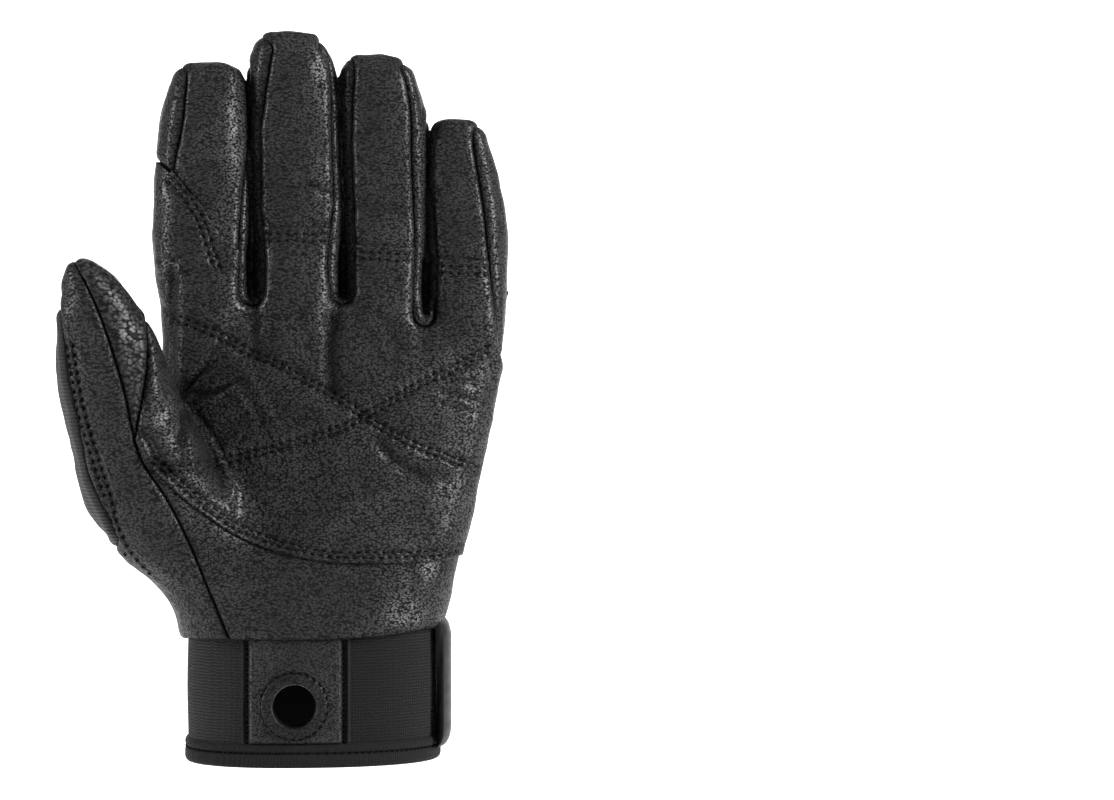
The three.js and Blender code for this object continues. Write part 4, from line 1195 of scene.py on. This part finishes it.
hem_profile = [(-2.4, 3.4), (-2.4, 0.2), *arc((-1.4, 0.2), (1.0, 1.1), 190, 270, 4)]
hem_profile += arc((-0.3, 0.8), (1.2, 1.8), 275, 360, 6)
hem_profile += [*arc((-0.3, 2.4), (1.2, 1.3), 10, 90, 5), (-0.9, 3.8)]
hem_points, hem_quads = band(round_turns, hem_profile)
roll_points, roll_quads = band(round_turns, arc((-0.3, 5.2), (1.15, 1.6), 0, 345, 16))
hem = joined((roll_points, roll_quads), (hem_points, hem_quads))
wear(piece_from("hem_edging", *hem, TAPE), "binding", "hem_binding", "hem_roll")


def front_patch(left, right, low, high, grow, wall, step=0.45):
    """A flat panel on the front of the cuff, rolled in at its edges."""
    across = np.linspace(left, right, int((right - left) / step) + 1)
    up = np.linspace(low, high, int((high - low) / step) + 1)
    x, z = np.meshgrid(across, up)
    edge = np.minimum(np.minimum(x - left, right - x), np.minimum(z - low, high - z))
    out = grow + wall + roll_in(edge, min(1.4, (right - left) / 2), wall * 0.75)
    return np.stack([x, cuff_front(x) - out, z], axis=-1).reshape(-1, 3), grid_quads(*x.shape)


PATCH_LOW, PATCH_HIGH = 6.9, 44
patch_points, patch_quads = front_patch(-20.9, 8.7, PATCH_LOW, PATCH_HIGH, 0.3, 1.3)
_, patch = cut(patch_points, split_quads(patch_quads), hole_zone)
wear(sheet_wall(piece_from("wrist_patch", *patch, PATCH_HIDE), LEATHER_WALL), "leather", "hang_patch")
sides = (-23.3, -22.2), (10.2, 11.3)
tapes = joined(*[front_patch(*side, PATCH_LOW, PATCH_HIGH, 0.2, TAPE_WALL, 0.2) for side in sides])
tapes = sheet_wall(piece_from("patch_edge_tapes", *tapes, TAPE), TAPE_WALL)
wear(tapes, "binding", "thumb_side_tape", "little_side_tape")

# Leather ring round the hole, with a lining that runs back through it
RING_LIFT = 1.75
ring_turn = np.linspace(0, 2 * math.pi, 96, endpoint=False)
ring_profile = [(HOLE_RADIUS - 0.3, 7.5), (HOLE_RADIUS - 0.45, 0.6)]
ring_profile += [*arc((RING_RADIUS - 1.2, -0.6), (0.55, 0.5), 180, 270, 5), (RING_RADIUS, -1.12)]
ring_profile += [*arc((RING_RADIUS + 1.1, -0.6), (0.65, 0.45), 275, 360, 5), (RING_RADIUS + 1.6, 1.2)]
ring_profile += [(HOLE_RADIUS + 0.5, 1.4), (HOLE_RADIUS + 0.5, 7.5)]
ring_rows = []
for radius, back in ring_profile:
    x, z = HOLE_X + radius * np.cos(ring_turn), HOLE_Z + radius * np.sin(ring_turn)
    ring_rows.append(np.stack([x, cuff_front(np.full_like(x, HOLE_X)) - RING_LIFT + back, z], axis=1))
ring_quads = grid_quads(len(ring_rows), len(ring_turn), True, True)[:, [0, 3, 2, 1]]
ring = np.concatenate(ring_rows), ring_quads
wear(piece_from("hanging_ring", *ring, RING_HIDE), "leather", "hang_ring")

# Closure strap over the outer side and the back
STRAP_OUT = 2.0
strap_turns = np.linspace(math.radians(-24), math.radians(118), 180)
strap_profile = [(STRAP_OUT, 3.4), *arc((STRAP_OUT - 0.6, 9.4), (3.0, 6.4), 275, 355, 9)]
strap_profile += [*arc((STRAP_OUT - 0.6, 38.2), (3.0, 6.8), 5, 85, 9), (STRAP_OUT, 45.0)]
strap_points, strap_quads = band(strap_turns, strap_profile, closed_round=False)
end = np.arange(len(strap_profile)) * len(strap_turns)
first_cap = np.stack([np.full(len(end) - 2, end[0]), end[1:-1], end[2:]], axis=1)
last_cap = (first_cap + len(strap_turns) - 1)[:, ::-1]
strap = strap_points, np.concatenate([split_quads(strap_quads), first_cap, last_cap])
wear(piece_from("closure_strap_moulded", *strap, STRAP), "strap_rubber", "closure_strap")


# ---- Stitches ----


def stitch_tree():
    """Lays one bent stitch on every point of a mesh, turned by the point's own directions."""
    tree = bpy.data.node_groups.new("laid stitches", "GeometryNodeTree")
    tree.interface.new_socket(name="Geometry", in_out="OUTPUT", socket_type="NodeSocketGeometry")
    kinds = {"Points": "Geometry", "Length": "Float", "Width": "Float", "Unevenness": "Float"}
    kinds |= {"Seed": "Int", "Thread": "Material"}
    for name, kind in kinds.items():
        tree.interface.new_socket(name=name, in_out="INPUT", socket_type="NodeSocket" + kind)
    given = tree.nodes.new("NodeGroupInput")
    points, length, width, unevenness, seed, thread = [Wire(tree, given.outputs[i]) for i in range(6)]
    ball = points.node("GeometryNodeMeshUVSphere", {}, {"Segments": 8, "Rings": 6, "Radius": 1.0})
    size = points.node("ShaderNodeCombineXYZ", {}, {0: length * 0.5, 1: width * 0.5, 2: width * 0.42})
    stitch = points.node("GeometryNodeTransform", {}, {"Geometry": ball, "Scale": size})
    along = points.node("GeometryNodeInputPosition").part(0) / length
    sag = points.node("ShaderNodeCombineXYZ", {}, {2: along * along * width * -1.8})
    bent = points.node("GeometryNodeSetPosition", {}, {"Geometry": stitch, "Offset": sag})
    smooth = points.node("GeometryNodeSetShadeSmooth", {}, {"Geometry": bent, "Shade Smooth": True})
    vector = {"data_type": "FLOAT_VECTOR"}
    way = points.node("GeometryNodeInputNamedAttribute", vector, {"Name": "along"})
    out = points.node("GeometryNodeInputNamedAttribute", vector, {"Name": "out"})
    axes = {"primary_axis": "Z", "secondary_axis": "X"}
    turn = points.node("FunctionNodeAxesToRotation", axes, {0: out, 1: way})
    values = {"Min": 1.0 - unevenness, "Max": 1.0 + unevenness, "Seed": seed}
    scale = points.node("FunctionNodeRandomValue", {"data_type": "FLOAT"}, values, output=1)
    values = {"Points": points, "Instance": smooth, "Rotation": turn, "Scale": scale}
    laid = points.node("GeometryNodeInstanceOnPoints", {}, values)
    real = points.node("GeometryNodeRealizeInstances", {}, {"Geometry": laid})
    done = points.node("GeometryNodeSetMaterial", {}, {"Geometry": real, "Material": thread})
    points.node("NodeGroupOutput", {}, {"Geometry": done})
    return tree


STITCH_TREE = stitch_tree()


def stitched(name, places, along, out, length=2.0, width=0.62, material=THREAD):
    """A piece made of stitches at the given places."""
    mesh = bpy.data.meshes.new(name)
    mesh.vertices.add(len(places))
    mesh.vertices.foreach_set("co", (np.asarray(places) * MM).ravel())
    for key, values in (("along", along), ("out", out)):
        kept = mesh.attributes.new(key, "FLOAT_VECTOR", "POINT")
        kept.data.foreach_set("vector", np.asarray(values, float).ravel())
    made = linked(name, mesh)
    laid = made.modifiers.new("stitches", "NODES")
    laid.node_group = STITCH_TREE
    inputs = {"Length": length * MM, "Width": width * MM, "Unevenness": 0.1, "Seed": 4, "Thread": material}
    for item in STITCH_TREE.interface.items_tree:
        if item.in_out == "INPUT" and item.name in inputs:
            laid[item.identifier] = inputs[item.name]
    bpy.context.view_layer.update()
    done = made.evaluated_get(bpy.context.evaluated_depsgraph_get())
    plain = bpy.data.meshes.new_from_object(done)
    made.modifiers.clear()
    made.data = plain
    return made


def sewn_rows(names, rows):
    """Places, directions and ways out of rows of stitches that are drawn in the front view."""
    points, triangles = joined(*[surfaces[name] for name in names])
    tree = BVHTree.FromPolygons(points.tolist(), triangles.tolist())
    places, ways, outs = [], [], []
    for path, aways, pitch in rows:
        for away in aways:
            line = evenly(beside(path, away), pitch)
            found = []
            for across, up in line:
                x, z = placed(across, up, 0.0)
                aim = Vector((float(x), 0.0, float(z))) - Vector(EYE)
                place, normal, _, _ = tree.ray_cast(Vector(EYE), aim.normalized())
                found.append((place, normal))
            before, after = [found[0], *found], [*found[1:], found[-1]]
            for (start, _), (place, normal), (end, _) in zip(before, found, after):
                if start is None or place is None or end is None:
                    continue
                if (end - start).length > 2.6 * pitch:
                    continue
                normal = normal if normal.y < 0 else -normal
                places.append(place + normal * 0.1)
                ways.append((end - start).normalized())
                outs.append(normal)
    return places, ways, outs


skins = ["palm_leather_shell", "thenar_panel_soft", "side_gussets", "palm_layer"]
wear(stitched("leather_stitches", *sewn_rows(skins, STITCH_ROWS)), "leather")

PATCH_ROWS = [([(x, 8.5), (x, 41)], (0,), 1.7) for x in (-21.4, 9.75)]
surfaces["knit"] = knit
places, ways, outs = sewn_rows(["knit"], PATCH_ROWS)
HEM_ROW_OUT, HEM_ROW_UP = 0.62, 3.75
hem_turn = np.arange(0, 2 * math.pi, 0.052)
x, y = cuff_ring(hem_turn, HEM_ROW_OUT)
step_x, step_y = cuff_ring(hem_turn + 0.01, HEM_ROW_OUT)
run = np.stack([step_x - x, step_y - y, np.zeros_like(x)], axis=1)
run /= np.linalg.norm(run, axis=1, keepdims=True)
places += np.stack([x, y, np.full_like(x, HEM_ROW_UP)], axis=1).tolist()
ways += run.tolist()
outs += np.stack([run[:, 1], -run[:, 0], np.zeros_like(x)], axis=1).tolist()
wear(stitched("cuff_stitches", places, ways, outs, 1.3, 0.5), "binding")

# Overcast stitches round the ring's outer edge
RING_STITCHES, RING_STITCH_LIFT = 27, 2.35
ring_stitch = np.linspace(0, 2 * math.pi, RING_STITCHES, endpoint=False)
radial = np.stack([np.cos(ring_stitch), np.zeros_like(ring_stitch), np.sin(ring_stitch)], axis=1)
tangent = np.stack([-np.sin(ring_stitch), np.zeros_like(ring_stitch), np.cos(ring_stitch)], axis=1)
slant = radial * 0.45 + tangent * 0.9
middle = np.array([HOLE_X, 0, HOLE_Z]) + radial * (RING_RADIUS + RING_HALF_WIDTH)
middle[:, 1] = cuff_front(middle[:, 0]) - RING_STITCH_LIFT
facing = np.tile([0.0, -1.0, 0.0], (len(middle), 1)) + radial * 0.3
wear(stitched("ring_stitches", middle, slant, facing, 2.3, 0.95), "leather")


# ---- Eye, light and floor ----


def flat_shader(name, colour, glow, from_y, to_y):
    """A pale matt surface that glows behind the glove, where the eye sees it."""
    material, start, where = new_material(name)
    tone = where.noise(0.4, 2).colours([c * 0.985 for c in colour], colour)
    lit = where.part(1).between(0, 1, from_y, to_y).colours((0, 0, 0), colour)
    values = {"Base Color": tone, "Roughness": 0.9, "Specular IOR Level": 0.1}
    values |= {"Emission Color": lit, "Emission Strength": glow}
    shader = start.node("ShaderNodeBsdfPrincipled", {}, values)
    start.node("ShaderNodeOutputMaterial", {}, {"Surface": shader})
    return material


def stage_plane(name, corners, material):
    """A flat piece of the studio, with corners in metres."""
    piece_from(name, np.array(corners) / MM, [(0, 1, 2, 3)], material, False)


FLOOR = -0.03
floor_shader = flat_shader("pale floor", (0.7, 0.7, 0.69), 1.2, -0.15, 0.09)
stage_plane("floor", [(-3, -3, FLOOR), (3, -3, FLOOR), (3, 3, FLOOR), (-3, 3, FLOOR)], floor_shader)
wall_shader = flat_shader("white backdrop", (0.95, 0.95, 0.95), 1.1, 1.0, 1.2)
corners = [(-1.2, 1.7, FLOOR), (1.4, 1.7, FLOOR), (1.4, 1.7, 1.4), (-1.2, 1.7, 1.4)]
stage_plane("backdrop", corners, wall_shader)


def area_light(name, place, aim, size, power):
    lamp = bpy.data.lights.new(name, "AREA")
    lamp.shape = "RECTANGLE"
    lamp.size, lamp.size_y = size
    lamp.energy = power
    made = linked(name, lamp)
    made.location = place
    made.rotation_euler = (Vector(aim) - Vector(place)).to_track_quat("-Z", "Y").to_euler()


area_light("little_side_box", (1.05, -0.6, 0.5), (0, 0, 0.12), (0.34, 0.9), 32)
area_light("thumb_side_box", (-1.2, -0.25, 0.4), (0, 0, 0.12), (0.3, 0.9), 18)
area_light("front_top", (-0.1, -1.1, 1.3), (0, 0, 0.12), (0.6, 0.2), 3.5)
area_light("overhead", (0, 0.3, 1.8), (0, 0.1, 0), (1.2, 1.2), 6)

world = bpy.data.worlds.new("studio")
world.use_nodes = True
world.node_tree.nodes["Background"].inputs["Color"].default_value = (1, 1, 1, 1)
world.node_tree.nodes["Background"].inputs["Strength"].default_value = 0.03
bpy.context.scene.world = world
bpy.context.scene.view_settings.view_transform = "Standard"

camera = linked("eye", bpy.data.cameras.new("eye"))
camera.data.lens = LENS
camera.data.sensor_width = 36
camera.location = (EYE + [0, 0, 0.5]) * MM
camera.rotation_euler = (math.pi / 2, 0, -EYE_TURN)
bpy.context.scene.camera = camera
